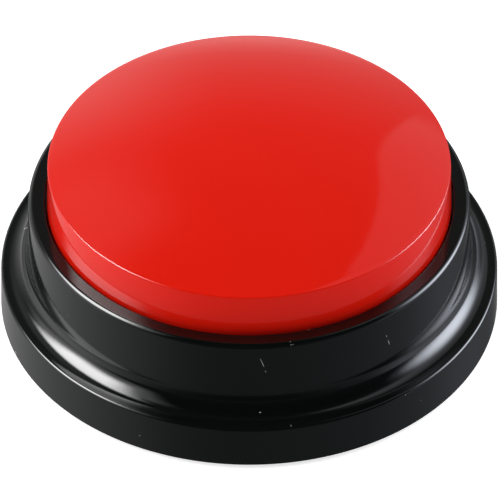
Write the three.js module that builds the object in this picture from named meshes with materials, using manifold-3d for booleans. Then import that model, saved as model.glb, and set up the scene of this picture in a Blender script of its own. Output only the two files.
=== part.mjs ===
// Quiz buzzer: a big domed push button on a stepped round housing, with the works inside.
// Millimetres, +Z up. The origin is the middle of the footprint, on the table; -Y is the front.
import * as THREE from "three";
import { mergeVertices } from "three/addons/utils/BufferGeometryUtils.js";
import Module from "manifold-3d";

const wasm = await Module();
wasm.setup();

// ---- Driving dimensions --------------------------------------------------------------------

// Clearances
const seatGap = 0.06; // between two pieces that rest on or in each other
const slideGap = 0.2; // round a piece that moves
const throughCut = 1; // how far a cutter runs past the face it opens

// Round housing
const standoff = 0.8; // the rubber feet hold the housing this far off the table
const flangeHeight = 8.5; // lower step, above the housing's underside
const flangeDraft = 0.2; // the lower step's wall leans in by this
const flangeLand = 1.2; // from the hollow's edge to the foot of the outer wall
const flangeRound = 0.5;
const rimHeight = 23.1; // top of the ring round the button, above the underside
const rimWidth = 2.65; // top of the ring, from the well to the outer wall
const rimRound = 0.6;
const ringDraft = 0.35; // the ring's wall leans in by this
const coveRadius = 3.9; // hollow between the lower step and the ring
const shellWall = 2;
const wellEdgeRound = 0.3;
const bossBlend = 0.3; // a boss beside a wall runs this far into it

// Button cap
const capTravel = 3.5;
const skirtRadius = 36.6; // sets the width of the whole buzzer
const skirtFlare = 0.55; // the wall widens by this from the crease to the skirt
const skirtClearance = 0.3; // round the skirt, in its well
const creaseHeight = 8.45; // crease above the rim
const creaseRound = 0.55;
const domeRise = 6;
const capWall = 2;
const skirtDepth = 3.3; // skirt below the rim when the button is up

// Works under the button
const floorWall = 1.6; // trough floor and platform
const platformBelowRim = 1.9;
const postInset = 5.6; // four guides for posts and springs, from the platform's edge
const postRadius = 2;
const guideWall = 0.95;
const springWire = 0.5;
const springTurns = 4.5;
const hookInset = 4.8; // four snap hooks, from the platform's edge to their middle
const hookWidth = 5;
const hookThick = 1.6;
const hookBarb = 1;
const plungerRadius = 3.4;
const plungerWall = 1.2;
const tipThick = 1.4; // rubber tip that strikes the push switch
const tipPlug = 3;
const ribThick = 1.2;

// Underside
const coverWall = 2;
const lipHeight = 2.2;
const footRadius = 4;
const footThick = 1.6;
const footInset = 1.6; // from the cover's edge
const footSpacing = 1; // from the door's opening
const footSeat = 0.15; // round a foot in its recess
const screwBossRadius = 3.2;
const screwAngles = [90, 200, 340];

// Cells and their bay
const cellRadius = 5.15;
const cellLength = 43.5;
const nubRadius = 1.9;
const nubLength = 0.8;
const cellGap = 0.7;
const baySpring = 3.7; // room for the squashed contact spring and the bump that faces it
const contactThick = 0.4;
const plateInset = 0.95; // a contact plate is narrower than its cell by this, each side
const contactWire = 0.6;
const bumpRise = 0.35;
const bayWall = 1.2;
const bayY = 9; // middle of the bay
const doorThick = 1.45;
const doorLip = 0.8; // door over the bay's wall, each side
const lugRadius = 4;
const lugReach = 4.6; // lug's middle beyond the bay's inside

// Loudspeaker
const speakerRadius = 13.5;
const speakerGap = 0.8; // from the bay's wall
const speakerRingWall = 1.5;
const speakerDepth = 9;
const speakerScrewAngles = [25, 155, 270];

// Circuit board and push switch
const boardThick = 1.2;
const boardHalfWidth = 16.5;
const boardBack = 8.5;
const boardFront = -21;
const boardCornerRound = 1.5;
const boardScrewX = 13.2;
const boardScrewY = -18;
const boardPegY = 6;
const tactSide = 6;
const tactHeight = 3.5;
const stemRadius = 1.7;
const stemHeight = 1.5; // above the switch's case
const stemTravel = 0.25;

// Power switch
const powerX = -33.4;
const powerY = 4;
const powerLength = 8.5;
const powerWidth = 3.7;
const powerCase = 3.4;
const powerTravel = 2;
const knobLength = 3;
const knobWidth = 1.9;

// ---- Places worked out from them -----------------------------------------------------------

const underZ = standoff;
const flangeZ = underZ + flangeHeight;
const rimZ = underZ + rimHeight;
const crownRadius = skirtRadius - skirtFlare;
const wellRadius = skirtRadius + skirtClearance;
const rimRadius = wellRadius + rimWidth;
const coveTop = rimRadius + ringDraft;
const baseRadius = coveTop + coveRadius + flangeLand;
const flangeEdge = baseRadius - flangeDraft;
const coverTopZ = underZ + coverWall;
const innerRadius = baseRadius - shellWall - flangeDraft;
const coverRadius = innerRadius - slideGap;
const screwPitchRadius = coveTop - shellWall - screwBossRadius + bossBlend;

const platformZ = rimZ - platformBelowRim;
const platformUnder = platformZ - floorWall;
const skirtBottom = rimZ - skirtDepth;
const troughZ = skirtBottom - capTravel - 0.5;
const troughUnder = troughZ - floorWall;
const troughInner = skirtRadius - capWall - 0.4;
const troughWall = 1.4;
const platformRadius = troughInner - troughWall;
const creaseZ = rimZ + creaseHeight;
const apexZ = creaseZ + domeRise;

const guideRadius = postRadius + 0.25;
const guideOuter = guideRadius + guideWall;
const springSeatZ = platformZ + seatGap;
const springRest = 7;
const springTopZ = springSeatZ + springRest;
const bossZ = springTopZ + seatGap;
const guideTopZ = bossZ - capTravel - 0.3;
const postPitchRadius = platformRadius - guideOuter - postInset;
const hookPitchRadius = platformRadius - hookInset;
const springMean = guideOuter + 0.3 + springWire / 2;
const springBoss = springMean + springWire;

const bayHalf = (cellLength + nubLength + baySpring + 2 * contactThick) / 2;
const cellPitch = 2 * cellRadius + cellGap;
const bayHalfWidth = cellPitch;
const bayFront = bayY - bayHalfWidth;
const bayBack = bayY + bayHalfWidth;
const doorInnerZ = underZ + seatGap + doorThick;
const bayLedgeZ = doorInnerZ + seatGap;
const cellZ = bayLedgeZ + 0.35 + cellRadius;
const bayRoof = cellZ + cellRadius + 0.2;
const bayTop = bayRoof + bayWall;
const lugY = bayBack + lugReach;

const boardZ = bayTop + 0.4;
const boardTop = boardZ + boardThick;
const stemTopZ = boardTop + tactHeight + stemHeight;
const plungerZ = stemTopZ - stemTravel + capTravel + seatGap;

const speakerZ = coverTopZ + seatGap;
const speakerRing = speakerRadius + speakerRingWall;
const speakerY = bayFront - bayWall - speakerGap - speakerRing;

const footPitchRadius = coverRadius - footRadius - footInset;
const footY = bayBack + doorLip + slideGap + footSpacing + footRadius + footSeat;
const footAngle = THREE.MathUtils.radToDeg(Math.asin(footY / footPitchRadius));
const footAngles = [footAngle, 180 - footAngle, 180 + footAngle, 360 - footAngle];

const screwHeadZ = underZ + 0.3;
const coverBossZ = coverTopZ + 2.2;

// ---- Solid helpers -------------------------------------------------------------------------

// A closed three.js geometry as a solid; faces without area are dropped.
function solid(geometry) {
  const loose = geometry.index ? geometry.toNonIndexed() : geometry;
  const bare = new THREE.BufferGeometry();
  bare.setAttribute("position", loose.getAttribute("position"));
  const merged = mergeVertices(bare, 1e-4);
  const corners = [];
  const index = merged.index.array;
  for (let i = 0; i < index.length; i += 3) {
    const [a, b, c] = [index[i], index[i + 1], index[i + 2]];
    if (a !== b && b !== c && c !== a) corners.push(a, b, c);
  }
  const mesh = new wasm.Mesh({
    numProp: 3,
    vertProperties: merged.attributes.position.array,
    triVerts: new Uint32Array(corners),
  });
  return new wasm.Manifold(mesh);
}

function geometryOf(body) {
  const mesh = body.getMesh();
  const geometry = new THREE.BufferGeometry();
  geometry.setAttribute("position", new THREE.BufferAttribute(mesh.vertProperties, 3));
  geometry.setIndex(new THREE.BufferAttribute(mesh.triVerts, 1));
  geometry.computeVertexNormals();
  return geometry;
}

function join(first, ...rest) {
  return rest.reduce((body, piece) => body.add(piece), first);
}

function cut(body, ...tools) {
  return tools.reduce((left, tool) => left.subtract(tool), body);
}

function signedArea(points) {
  let sum = 0;
  points.forEach((p, i) => {
    const q = points[(i + 1) % points.length];
    sum += p.x * q.y - q.x * p.y;
  });
  return sum / 2;
}

// A solid of revolution about Z. The outline is a THREE.Path of radius and height.
function turned(path, segments = 40, arcSteps = 1) {
  const points = path.getPoints(arcSteps);
  if (signedArea(points) < 0) points.reverse();
  if (!points[0].equals(points[points.length - 1])) points.push(points[0].clone());
  return solid(new THREE.LatheGeometry(points, segments).rotateX(Math.PI / 2));
}

function outline(...points) {
  const path = new THREE.Path();
  path.moveTo(...points[0]);
  points.slice(1).forEach((p) => path.lineTo(...p));
  path.closePath();
  return path;
}

function rod(radius, low, high, segments = 20) {
  const shape = new THREE.CylinderGeometry(radius, radius, high - low, segments);
  return solid(shape.rotateX(Math.PI / 2).translate(0, 0, (low + high) / 2));
}

function cone(lowRadius, highRadius, low, high, segments = 20) {
  const shape = new THREE.CylinderGeometry(highRadius, lowRadius, high - low, segments);
  return solid(shape.rotateX(Math.PI / 2).translate(0, 0, (low + high) / 2));
}

function pipe(outer, inner, low, high, segments = 20) {
  const bore = rod(inner, low - throughCut, high + throughCut, segments);
  return rod(outer, low, high, segments).subtract(bore);
}

function block(low, high) {
  const size = high.map((v, i) => v - low[i]);
  const middle = high.map((v, i) => (v + low[i]) / 2);
  return solid(new THREE.BoxGeometry(...size).translate(...middle));
}

// A flat plate from low to high, with round corners.
function plate(halfX, lowY, highY, corner, low, high) {
  const shape = new THREE.Shape();
  shape.absarc(halfX - corner, highY - corner, corner, 0, Math.PI / 2, false);
  shape.absarc(-halfX + corner, highY - corner, corner, Math.PI / 2, Math.PI, false);
  shape.absarc(-halfX + corner, lowY + corner, corner, Math.PI, 1.5 * Math.PI, false);
  shape.absarc(halfX - corner, lowY + corner, corner, 1.5 * Math.PI, 2 * Math.PI, false);
  shape.closePath();
  const depth = high - low;
  const body = new THREE.ExtrudeGeometry(shape, { depth, bevelEnabled: false, curveSegments: 3 });
  return solid(body.translate(0, 0, low));
}

function at(body, x, y, z = 0) {
  return body.translate([x, y, z]);
}

function onCircle(radius, degrees) {
  const angle = THREE.MathUtils.degToRad(degrees);
  return [radius * Math.cos(angle), radius * Math.sin(angle)];
}

// A round wire along a curve.
function wire(curve, radius, sides, steps) {
  const section = new THREE.Shape();
  section.absarc(0, 0, radius, 0, 2 * Math.PI, false);
  const options = { steps, extrudePath: curve, curveSegments: sides / 2, bevelEnabled: false };
  return solid(new THREE.ExtrudeGeometry(section, options));
}

// A coil about Z whose first and last turns lie close. Its radius runs from one value to another.
class Coil extends THREE.Curve {
  constructor(lowRadius, highRadius, length, turns, thick) {
    super();
    Object.assign(this, { lowRadius, highRadius, length, turns, thick });
  }
  getPoint(t, target = new THREE.Vector3()) {
    const closed = this.thick * 1.12;
    const rise = this.length - this.thick;
    const turn = t * this.turns;
    const pitch = (rise - 2 * closed) / (this.turns - 2);
    const radius = THREE.MathUtils.lerp(this.lowRadius, this.highRadius, t);
    const angle = 2 * Math.PI * turn;
    let height = closed + (turn - 1) * pitch;
    if (turn < 1) height = turn * closed;
    if (turn > this.turns - 1) height = rise - (this.turns - turn) * closed;
    return target.set(radius * Math.cos(angle), radius * Math.sin(angle), height + this.thick / 2);
  }
}

// ---- Materials -----------------------------------------------------------------------------

function finish(color, roughness, metalness = 0) {
  return new THREE.MeshStandardMaterial({ color, roughness, metalness });
}

const blackPlastic = finish(0x111312, 0.22);
const redPlastic = finish(0xd8180f, 0.12);
const blackRubber = finish(0x1b1b1c, 0.85);
const zincSteel = finish(0xb9bcc0, 0.35, 1);
const nickelSpring = finish(0xc9c9c6, 0.25, 1);
const boardGreen = finish(0x1d5a36, 0.5);
const blackEpoxy = finish(0x141414, 0.35);
const cellJacket = finish(0x2f5f8f, 0.3);
const coneBlack = finish(0x232323, 0.9);
const ferrite = finish(0x3a3a3d, 0.6);
const redWire = finish(0xc02018, 0.45);
const blackWire = finish(0x161616, 0.45);
const paper = finish(0x8c7a5c, 0.9);
const greyPlastic = finish(0x5c6064, 0.5);

const buzzer = new THREE.Group();

function add(name, body, material, parent = buzzer) {
  const mesh = new THREE.Mesh(geometryOf(body), material);
  mesh.name = name;
  parent.add(mesh);
  return mesh;
}

// ---- Housing -------------------------------------------------------------------------------

// Outer outline: lower step, hollow, ring and rim, then the well with its trough and platform.
function housingOutline() {
  const path = new THREE.Path();
  const coveX = coveTop + coveRadius;
  const coveZ = flangeZ + coveRadius;
  const flangeMiddle = flangeEdge - flangeRound;
  const rimMiddle = rimRadius - rimRound;
  const wellMiddle = wellRadius + wellEdgeRound;
  path.moveTo(baseRadius - shellWall, underZ);
  path.lineTo(baseRadius, underZ);
  path.absarc(flangeMiddle, flangeZ - flangeRound, flangeRound, 0, Math.PI / 2, false);
  path.absarc(coveX, coveZ, coveRadius, 1.5 * Math.PI, 1.25 * Math.PI, true);
  path.absarc(coveX, coveZ, coveRadius, 1.25 * Math.PI, Math.PI, true);
  path.absarc(rimMiddle, rimZ - rimRound, rimRound, 0, Math.PI / 2, false);
  path.absarc(wellMiddle, rimZ - wellEdgeRound, wellEdgeRound, Math.PI / 2, Math.PI, false);
  path.lineTo(wellRadius, troughZ);
  path.lineTo(troughInner, troughZ);
  path.lineTo(troughInner, platformZ);
  path.lineTo(plungerRadius + 0.8, platformZ);
  path.lineTo(plungerRadius + 0.8, platformUnder);
  path.lineTo(platformRadius, platformUnder);
  path.lineTo(platformRadius, troughUnder);
  path.lineTo(coveTop - shellWall, troughUnder);
  const insideEnd = Math.PI + Math.acos((coveX - innerRadius) / (coveRadius + shellWall));
  path.absarc(coveX, coveZ, coveRadius + shellWall, Math.PI, insideEnd, false);
  path.closePath();
  return path;
}

function housing() {
  let body = turned(housingOutline());
  screwAngles.forEach((angle) => {
    const [x, y] = onCircle(screwPitchRadius, angle);
    const boss = rod(screwBossRadius, coverBossZ + seatGap, troughUnder + 0.2, 16);
    const pilot = rod(1.15, coverBossZ - throughCut, troughUnder - 1.5, 12);
    body = body.add(at(boss, x, y)).subtract(at(pilot, x, y));
  });
  for (let i = 0; i < 4; i += 1) {
    const [x, y] = onCircle(postPitchRadius, 90 * i);
    const bore = rod(guideRadius, platformUnder - throughCut, guideTopZ + throughCut, 16);
    body = body.add(at(rod(guideOuter, platformZ - 0.2, guideTopZ, 16), x, y)).subtract(at(bore, x, y));
    const reach = hookThick / 2 + slideGap;
    const slot = block(
      [hookPitchRadius - reach, -hookWidth / 2 - slideGap, platformUnder - throughCut],
      [hookPitchRadius + reach + hookBarb, hookWidth / 2 + slideGap, platformZ + throughCut],
    );
    body = body.subtract(slot.rotate([0, 0, 45 + 90 * i]));
  }
  [-boardScrewX, boardScrewX].forEach((x) => {
    const boss = rod(2.1, boardTop + seatGap, platformUnder + 0.2, 12);
    const pilot = rod(0.85, boardTop - throughCut, platformUnder + 0.5, 10);
    body = body.add(at(boss, x, boardScrewY)).subtract(at(pilot, x, boardScrewY));
    const collar = rod(1.6, boardTop + seatGap, platformUnder + 0.2, 12);
    const peg = rod(0.9, boardZ + 0.1, platformUnder + 0.2, 12);
    body = body.add(at(collar, x, boardPegY)).add(at(peg, x, boardPegY));
  });
  return body;
}

// ---- Button cap ----------------------------------------------------------------------------

// Radius of the sphere that rises by `rise` over a circle of `radius`.
function sphereOver(radius, rise) {
  return (radius * radius + rise * rise) / (2 * rise);
}

const domeSphere = sphereOver(crownRadius, domeRise);

function domeHeight(radius, sphere, top) {
  return top - sphere + Math.sqrt(sphere * sphere - radius * radius);
}

function capOutline() {
  const path = new THREE.Path();
  const innerCrown = crownRadius - capWall;
  const innerSphere = domeSphere - capWall;
  const steps = 6;
  path.moveTo(skirtRadius, skirtBottom);
  path.lineTo(crownRadius, creaseZ - creaseRound);
  path.lineTo(crownRadius - creaseRound * 0.25, creaseZ - creaseRound * 0.25);
  for (let i = 0; i <= steps; i += 1) {
    const radius = (crownRadius - creaseRound) * (1 - i / steps);
    path.lineTo(radius, domeHeight(radius, domeSphere, apexZ));
  }
  for (let i = 0; i <= steps; i += 1) {
    const radius = innerCrown * (i / steps);
    path.lineTo(radius, domeHeight(radius, innerSphere, apexZ - capWall));
  }
  path.lineTo(skirtRadius - capWall, skirtBottom);
  path.closePath();
  return path;
}

function cap() {
  const top = apexZ - capWall / 2;
  const tubeZ = plungerZ + tipThick + seatGap;
  let inside = pipe(plungerRadius, plungerRadius - plungerWall, tubeZ, top);
  for (let i = 0; i < 4; i += 1) {
    const [x, y] = onCircle(postPitchRadius, 90 * i);
    inside = inside.add(at(rod(postRadius, platformZ - 2, top, 16), x, y));
    inside = inside.add(at(rod(springBoss, bossZ, top, 16), x, y));
    const rib = block([plungerRadius - plungerWall / 2, -ribThick / 2, bossZ + 1.5], [crownRadius - 1, ribThick / 2, top]);
    inside = inside.add(rib.rotate([0, 0, 90 * i]));
    inside = inside.add(hook().rotate([0, 0, 45 + 90 * i]));
  }
  const shell = turned(capOutline());
  const fill = turned(
    outline(
      [0, skirtBottom - 20],
      [skirtRadius - capWall / 2, skirtBottom - 20],
      [crownRadius - capWall / 2, creaseZ - 1],
      [crownRadius * 0.5, domeHeight(crownRadius * 0.5, domeSphere, apexZ) - 1],
      [0, apexZ - 1],
    ),
  );
  return shell.add(inside.intersect(fill));
}

// A snap leg that hangs from the dome and catches under the platform.
function hook() {
  const inner = hookPitchRadius - hookThick / 2;
  const outer = hookPitchRadius + hookThick / 2;
  const catchZ = platformUnder - seatGap;
  const leg = block([inner, -hookWidth / 2, catchZ - 1.5], [outer, hookWidth / 2, apexZ]);
  const barb = new THREE.Shape();
  barb.moveTo(outer - 0.2, catchZ);
  barb.lineTo(outer - 0.2, catchZ - 1.5);
  barb.lineTo(outer, catchZ - 1.5);
  barb.lineTo(outer + hookBarb, catchZ - 0.3);
  barb.lineTo(outer + hookBarb, catchZ);
  barb.closePath();
  const wedge = new THREE.ExtrudeGeometry(barb, { depth: hookWidth, bevelEnabled: false });
  return leg.add(solid(wedge.rotateX(Math.PI / 2).translate(0, hookWidth / 2, 0)));
}

// The rubber tip, plugged into the plunger from below.
function plungerTip() {
  const pad = turned(
    outline(
      [0, plungerZ],
      [plungerRadius - 0.8, plungerZ],
      [plungerRadius - 0.3, plungerZ + 0.4],
      [plungerRadius - 0.3, plungerZ + tipThick],
      [0, plungerZ + tipThick],
    ),
    20,
  );
  const plug = rod(plungerRadius - plungerWall - seatGap, plungerZ + tipThick - 0.2, plungerZ + tipThick + tipPlug);
  return pad.add(plug);
}

function returnSpring() {
  const coil = new Coil(springMean, springMean, springRest, springTurns, springWire);
  return wire(coil, springWire / 2, 6, Math.round(springTurns * 9));
}

// ---- Underside -----------------------------------------------------------------------------

function doorOutline(gap, low, high) {
  const lowY = bayFront - doorLip - gap;
  const highY = bayBack + doorLip + gap;
  const sheet = plate(bayHalf + doorLip + gap, lowY, highY, 1.2, low, high);
  const lug = at(rod(lugRadius + gap, low, high, 24), 0, lugY);
  const neck = block([-lugRadius - gap, highY - 2, low], [lugRadius + gap, lugY, high]);
  return join(sheet, lug, neck);
}

const tongueHalf = 3;
const tongueX = 14;
const tongueZ = coverTopZ + 0.3;
const tongueThick = 1;

function door() {
  let body = doorOutline(0, underZ + seatGap, doorInnerZ);
  [-tongueX, tongueX].forEach((x) => {
    const rise = block(
      [x - tongueHalf, bayFront + 0.1, doorInnerZ - 0.2],
      [x + tongueHalf, bayFront + 1.1, tongueZ + tongueThick],
    );
    const reach = block(
      [x - tongueHalf, bayFront - bayWall - 1.2, tongueZ],
      [x + tongueHalf, bayFront + 1.1, tongueZ + tongueThick],
    );
    body = join(body, rise, reach);
  });
  for (let i = -2; i <= 2; i += 1) {
    const y = bayBack - 3;
    const groove = block([-6, y + i * 1.1 - 0.25, underZ - throughCut], [6, y + i * 1.1 + 0.25, underZ + 0.35]);
    body = body.subtract(groove);
  }
  const sink = cone(2.5, 1.3, underZ, underZ + 1.3, 16);
  return cut(body, at(sink, 0, lugY), at(rod(1.3, underZ, coverTopZ, 12), 0, lugY));
}

function doorScrew() {
  const head = cone(2.2, 1.05, underZ + 0.15, underZ + 1.3, 16);
  const shank = rod(1, underZ + 1.2, bayLedgeZ + 2.6, 12);
  return crossCut(head.add(shank), underZ + 0.15);
}

// Cuts the driver's cross into a screw head that faces down at headZ.
function crossCut(body, headZ) {
  const bar = block([-1.25, -0.28, headZ - throughCut], [1.25, 0.28, headZ + 0.8]);
  return cut(body, bar, bar.rotate([0, 0, 90]));
}

// A pan-head screw that points up; its head's face is at z = 0.
function panScrew(headRadius, headThick, shankRadius, length) {
  const path = new THREE.Path();
  path.moveTo(0, 0);
  path.lineTo(headRadius * 0.7, 0);
  path.absarc(headRadius * 0.7, headRadius * 0.3, headRadius * 0.3, 1.5 * Math.PI, 2 * Math.PI, false);
  path.lineTo(headRadius, headThick);
  path.lineTo(shankRadius, headThick);
  path.lineTo(shankRadius, length - shankRadius);
  path.lineTo(0, length);
  path.closePath();
  return crossCut(turned(path, 14, 1), 0);
}

function grilleHoles() {
  const holes = [];
  const rings = [[0, 1], [4.2, 6], [8.4, 12]];
  rings.forEach(([radius, count]) => {
    for (let i = 0; i < count; i += 1) {
      const [x, y] = onCircle(radius, (360 * i) / count);
      holes.push(at(rod(1.2, underZ - throughCut, coverTopZ + throughCut, 8), x, speakerY + y));
    }
  });
  return holes;
}

const speakerBossPitch = speakerRadius + 2.1;
const speakerBossZ = speakerZ + 0.8;

function cover() {
  const bay = plate(bayHalf + bayWall, bayFront - bayWall, bayBack + bayWall, 1.5, underZ, bayTop);
  const bayInside = block([-bayHalf, bayFront, underZ - throughCut], [bayHalf, bayBack, bayRoof]);
  const ring = at(pipe(speakerRing, speakerRadius + slideGap, coverTopZ - 0.2, coverTopZ + 1.1, 24), 0, speakerY);
  const speakerInside = rod(speakerRadius + slideGap, coverTopZ, coverTopZ + 5, 24);
  const disc = rod(coverRadius, underZ, coverTopZ, 40);
  const lip = pipe(coverRadius - 0.8, coverRadius - 2, coverTopZ - 0.2, coverTopZ + lipHeight, 40);
  let body = join(disc, lip, bay, ring);
  speakerScrewAngles.forEach((angle) => {
    const [x, y] = onCircle(speakerBossPitch, angle);
    body = body.add(at(rod(1.9, coverTopZ - 0.2, speakerBossZ - seatGap, 12), x, speakerY + y));
  });
  body = body.add(at(rod(lugRadius + 1.2, underZ, coverTopZ + 1.2, 24), 0, lugY));
  body = body.add(at(rod(3, coverTopZ - 0.2, coverTopZ + 4, 16), 0, lugY));
  screwAngles.forEach((angle) => {
    const [x, y] = onCircle(screwPitchRadius, angle);
    body = body.add(at(rod(4.2, underZ, coverBossZ, 16), x, y));
  });
  const [px, py] = [powerX, powerY];
  const pocket = block(
    [px - knobWidth / 2 - 1.2, py - powerLength / 2, underZ - throughCut],
    [px + knobWidth / 2 + 1.2, py + powerLength / 2, underZ + 1],
  );
  const halfRun = (knobLength + powerTravel) / 2 + slideGap;
  const slot = block(
    [px - knobWidth / 2 - slideGap, py - halfRun, underZ - throughCut],
    [px + knobWidth / 2 + slideGap, py + halfRun, coverTopZ + throughCut],
  );
  body = cut(body, bayInside, at(speakerInside, 0, speakerY), pocket, slot);
  body = cut(body, doorOutline(slideGap, underZ - throughCut, bayLedgeZ), ...grilleHoles());
  [-tongueX, tongueX].forEach((x) => {
    const gate = block(
      [x - tongueHalf - 0.3, bayFront - bayWall - 0.3, coverTopZ],
      [x + tongueHalf + 0.3, bayFront + 0.3, tongueZ + tongueThick + 0.85],
    );
    body = body.subtract(gate);
  });
  speakerScrewAngles.forEach((angle) => {
    const [x, y] = onCircle(speakerBossPitch, angle);
    body = body.subtract(at(rod(0.75, coverTopZ - 0.8, speakerBossZ + throughCut, 8), x, speakerY + y));
  });
  body = body.subtract(at(rod(1.55, underZ, bayLedgeZ + 3.2, 16), 0, lugY));
  screwAngles.forEach((angle) => {
    const [x, y] = onCircle(screwPitchRadius, angle);
    const sink = rod(2.9, underZ - throughCut, screwHeadZ + 1.6, 16);
    body = cut(body, at(sink, x, y), at(rod(1.4, underZ, coverBossZ + throughCut, 12), x, y));
  });
  footAngles.forEach((angle) => {
    const [x, y] = onCircle(footPitchRadius, angle);
    body = body.subtract(at(rod(footRadius + footSeat, underZ - throughCut, footThick + seatGap, 16), x, y));
  });
  [-1, 1].forEach((side) => {
    [-1, 1].forEach((cell) => {
      const x = side * (bayHalf - contactThick / 2 - 0.05);
      const y = bayY + (cell * cellPitch) / 2;
      const tabSlot = block([x - 0.35, y - 1.4, bayRoof - 0.2], [x + 0.35, y + 1.4, bayTop + throughCut]);
      body = body.subtract(tabSlot);
    });
  });
  return body;
}

function foot() {
  const path = new THREE.Path();
  path.moveTo(0, 0);
  path.lineTo(footRadius - 0.4, 0);
  path.lineTo(footRadius, 0.4);
  path.lineTo(footRadius, footThick);
  path.lineTo(0, footThick);
  path.closePath();
  return turned(path, 16);
}

// ---- Cells and contacts --------------------------------------------------------------------

// A cell along X, its nub at +X; its middle is the origin.
function cell() {
  const path = new THREE.Path();
  const half = cellLength / 2;
  path.moveTo(0, -half);
  path.lineTo(cellRadius - 0.6, -half);
  path.lineTo(cellRadius, -half + 0.5);
  path.lineTo(cellRadius, half - 0.5);
  path.lineTo(cellRadius - 0.6, half);
  path.lineTo(nubRadius, half);
  path.lineTo(nubRadius, half + nubLength);
  path.lineTo(0, half + nubLength);
  path.closePath();
  return turned(path, 20).rotate([0, 90, 0]);
}

const plateHalf = cellRadius - plateInset;
const contactX = bayHalf - contactThick - 0.03;

// A contact plate in the bay's end, with its solder tab through the roof. Inside faces -X.
function contactPlate(y) {
  const high = bayRoof - 0.1;
  const sheet = block([contactX, y - plateHalf, bayLedgeZ + 1.2], [contactX + contactThick, y + plateHalf, high]);
  const tab = block([contactX, y - 1.1, high - 1], [contactX + contactThick, y + 1.1, bayTop + 1.4]);
  return sheet.add(tab);
}

const cellShift = contactX - bumpRise - seatGap - nubLength - cellLength / 2;

function contactBump(y) {
  return at(cone(1.2, 2, -bumpRise, 0.1, 12).rotate([0, 90, 0]), contactX, y, cellZ);
}

// A conical spring that bears on a cell's flat end; its wide turn is sunk into the plate.
function contactSpring(y) {
  const sunk = contactThick / 2;
  const length = contactX + cellShift - cellLength / 2 - seatGap + sunk;
  const coil = new Coil(plateHalf - contactWire, 1.9, length, 3.5, contactWire);
  const laid = wire(coil, contactWire / 2, 6, 35).rotate([0, -90, 0]);
  return at(laid, contactX + sunk, y, cellZ);
}

const nearCell = bayY - cellPitch / 2;
const farCell = bayY + cellPitch / 2;

// ---- Loudspeaker ---------------------------------------------------------------------------

const magnetRadius = 8;
const basketTop = speakerZ + 5;
const magnetTop = speakerZ + speakerDepth;

function speakerBasket() {
  const r = speakerRadius;
  const low = speakerZ + 0.5;
  return turned(
    outline(
      [r, low],
      [r, low + 0.6],
      [r - 1.4, low + 0.6],
      [r - 3.4, basketTop],
      [magnetRadius * 0.5, basketTop],
      [magnetRadius * 0.5, basketTop - 0.6],
      [r - 3.8, basketTop - 0.6],
      [r - 2.2, low],
    ),
    24,
  );
}

function speakerCone() {
  const r = speakerRadius;
  const low = speakerZ + 0.56;
  return turned(
    outline(
      [0, low + 1.6],
      [2.4, low + 1.1],
      [3.4, low + 1.9],
      [r - 4, low + 0.5],
      [r - 3.4, low + 0.2],
      [r - 2.35, low + 0.1],
      [r - 2.8, low + 0.5],
      [r - 3.9, low + 0.9],
      [3.6, low + 2.3],
      [3.6, low + 3.2],
      [3.3, low + 3.2],
      [3.3, low + 2.3],
      [0, low + 2.0],
    ),
    24,
  );
}

function speakerMagnet() {
  const low = basketTop + seatGap;
  return join(
    rod(magnetRadius, low + 0.8, magnetTop - 0.8, 24),
    rod(magnetRadius - 0.6, low, low + 0.9, 24),
    rod(magnetRadius - 0.6, magnetTop - 0.9, magnetTop, 24),
  );
}

function speakerGasket() {
  return pipe(speakerRadius, speakerRadius - 2.2, speakerZ, speakerZ + 0.44, 24);
}

function terminalStrip() {
  const x = magnetRadius + 0.3;
  const low = basketTop + 0.1;
  const board = block([x, -3.2, low], [x + 2.4, 3.2, low + 0.9]);
  return board.add(at(rod(0.7, low + 0.8, low + 1.3, 8), x + 1.2, -2)).add(at(rod(0.7, low + 0.8, low + 1.3, 8), x + 1.2, 2));
}

// ---- Circuit board -------------------------------------------------------------------------

function board() {
  let body = plate(boardHalfWidth, boardFront, boardBack, boardCornerRound, boardZ, boardTop);
  [-boardScrewX, boardScrewX].forEach((x) => {
    body = body.subtract(at(rod(1.1, boardZ - throughCut, boardTop + throughCut, 12), x, boardScrewY));
    body = body.subtract(at(rod(1.1, boardZ - throughCut, boardTop + throughCut, 12), x, boardPegY));
  });
  return body;
}

function epoxyBlob() {
  const low = boardTop + seatGap;
  return turned(outline([0, low], [4.2, low], [3.7, low + 0.7], [2.3, low + 1.3], [0, low + 1.5]), 24);
}

function tactCase() {
  const half = tactSide / 2;
  const low = boardTop + seatGap;
  const body = block([-half, -half, low], [half, half, low + tactHeight - seatGap]);
  const well = rod(stemRadius + 0.1, low + 2.2, low + tactHeight + throughCut, 16);
  let legs = body.subtract(well);
  [-1, 1].forEach((side) => {
    [-1, 1].forEach((end) => {
      const x = side * (half + 0.45);
      const leg = block([x - 0.5, end * 2.25 - 0.35, low], [x + 0.5, end * 2.25 + 0.35, low + 1.2]);
      legs = legs.add(leg);
    });
  });
  return legs;
}

function tactStem() {
  return cone(stemRadius, stemRadius - 0.1, boardTop + 2.2 + seatGap + stemTravel + 0.05, stemTopZ, 16);
}

// An upright-mounted electrolytic capacitor that is bent over to lie along Y.
function capacitor() {
  const path = new THREE.Path();
  path.moveTo(0, 0);
  path.lineTo(1.75, 0);
  path.lineTo(1.9, 0.4);
  path.lineTo(1.9, 6.6);
  path.lineTo(1.7, 7);
  path.lineTo(0, 7);
  path.closePath();
  return turned(path, 16).rotate([-90, 0, 0]);
}

function resistor() {
  const path = outline([0, -1.9], [0.75, -1.9], [0.85, -1.6], [0.7, -1], [0.7, 1], [0.85, 1.6], [0.75, 1.9], [0, 1.9]);
  const lead = rod(0.25, -3.4, 3.4, 8);
  const drop = rod(0.25, -0.86, 0.2, 8);
  const body = turned(path, 12).add(lead).rotate([90, 0, 0]);
  return join(body, at(drop, 0, -3.2), at(drop, 0, 3.2));
}

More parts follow.
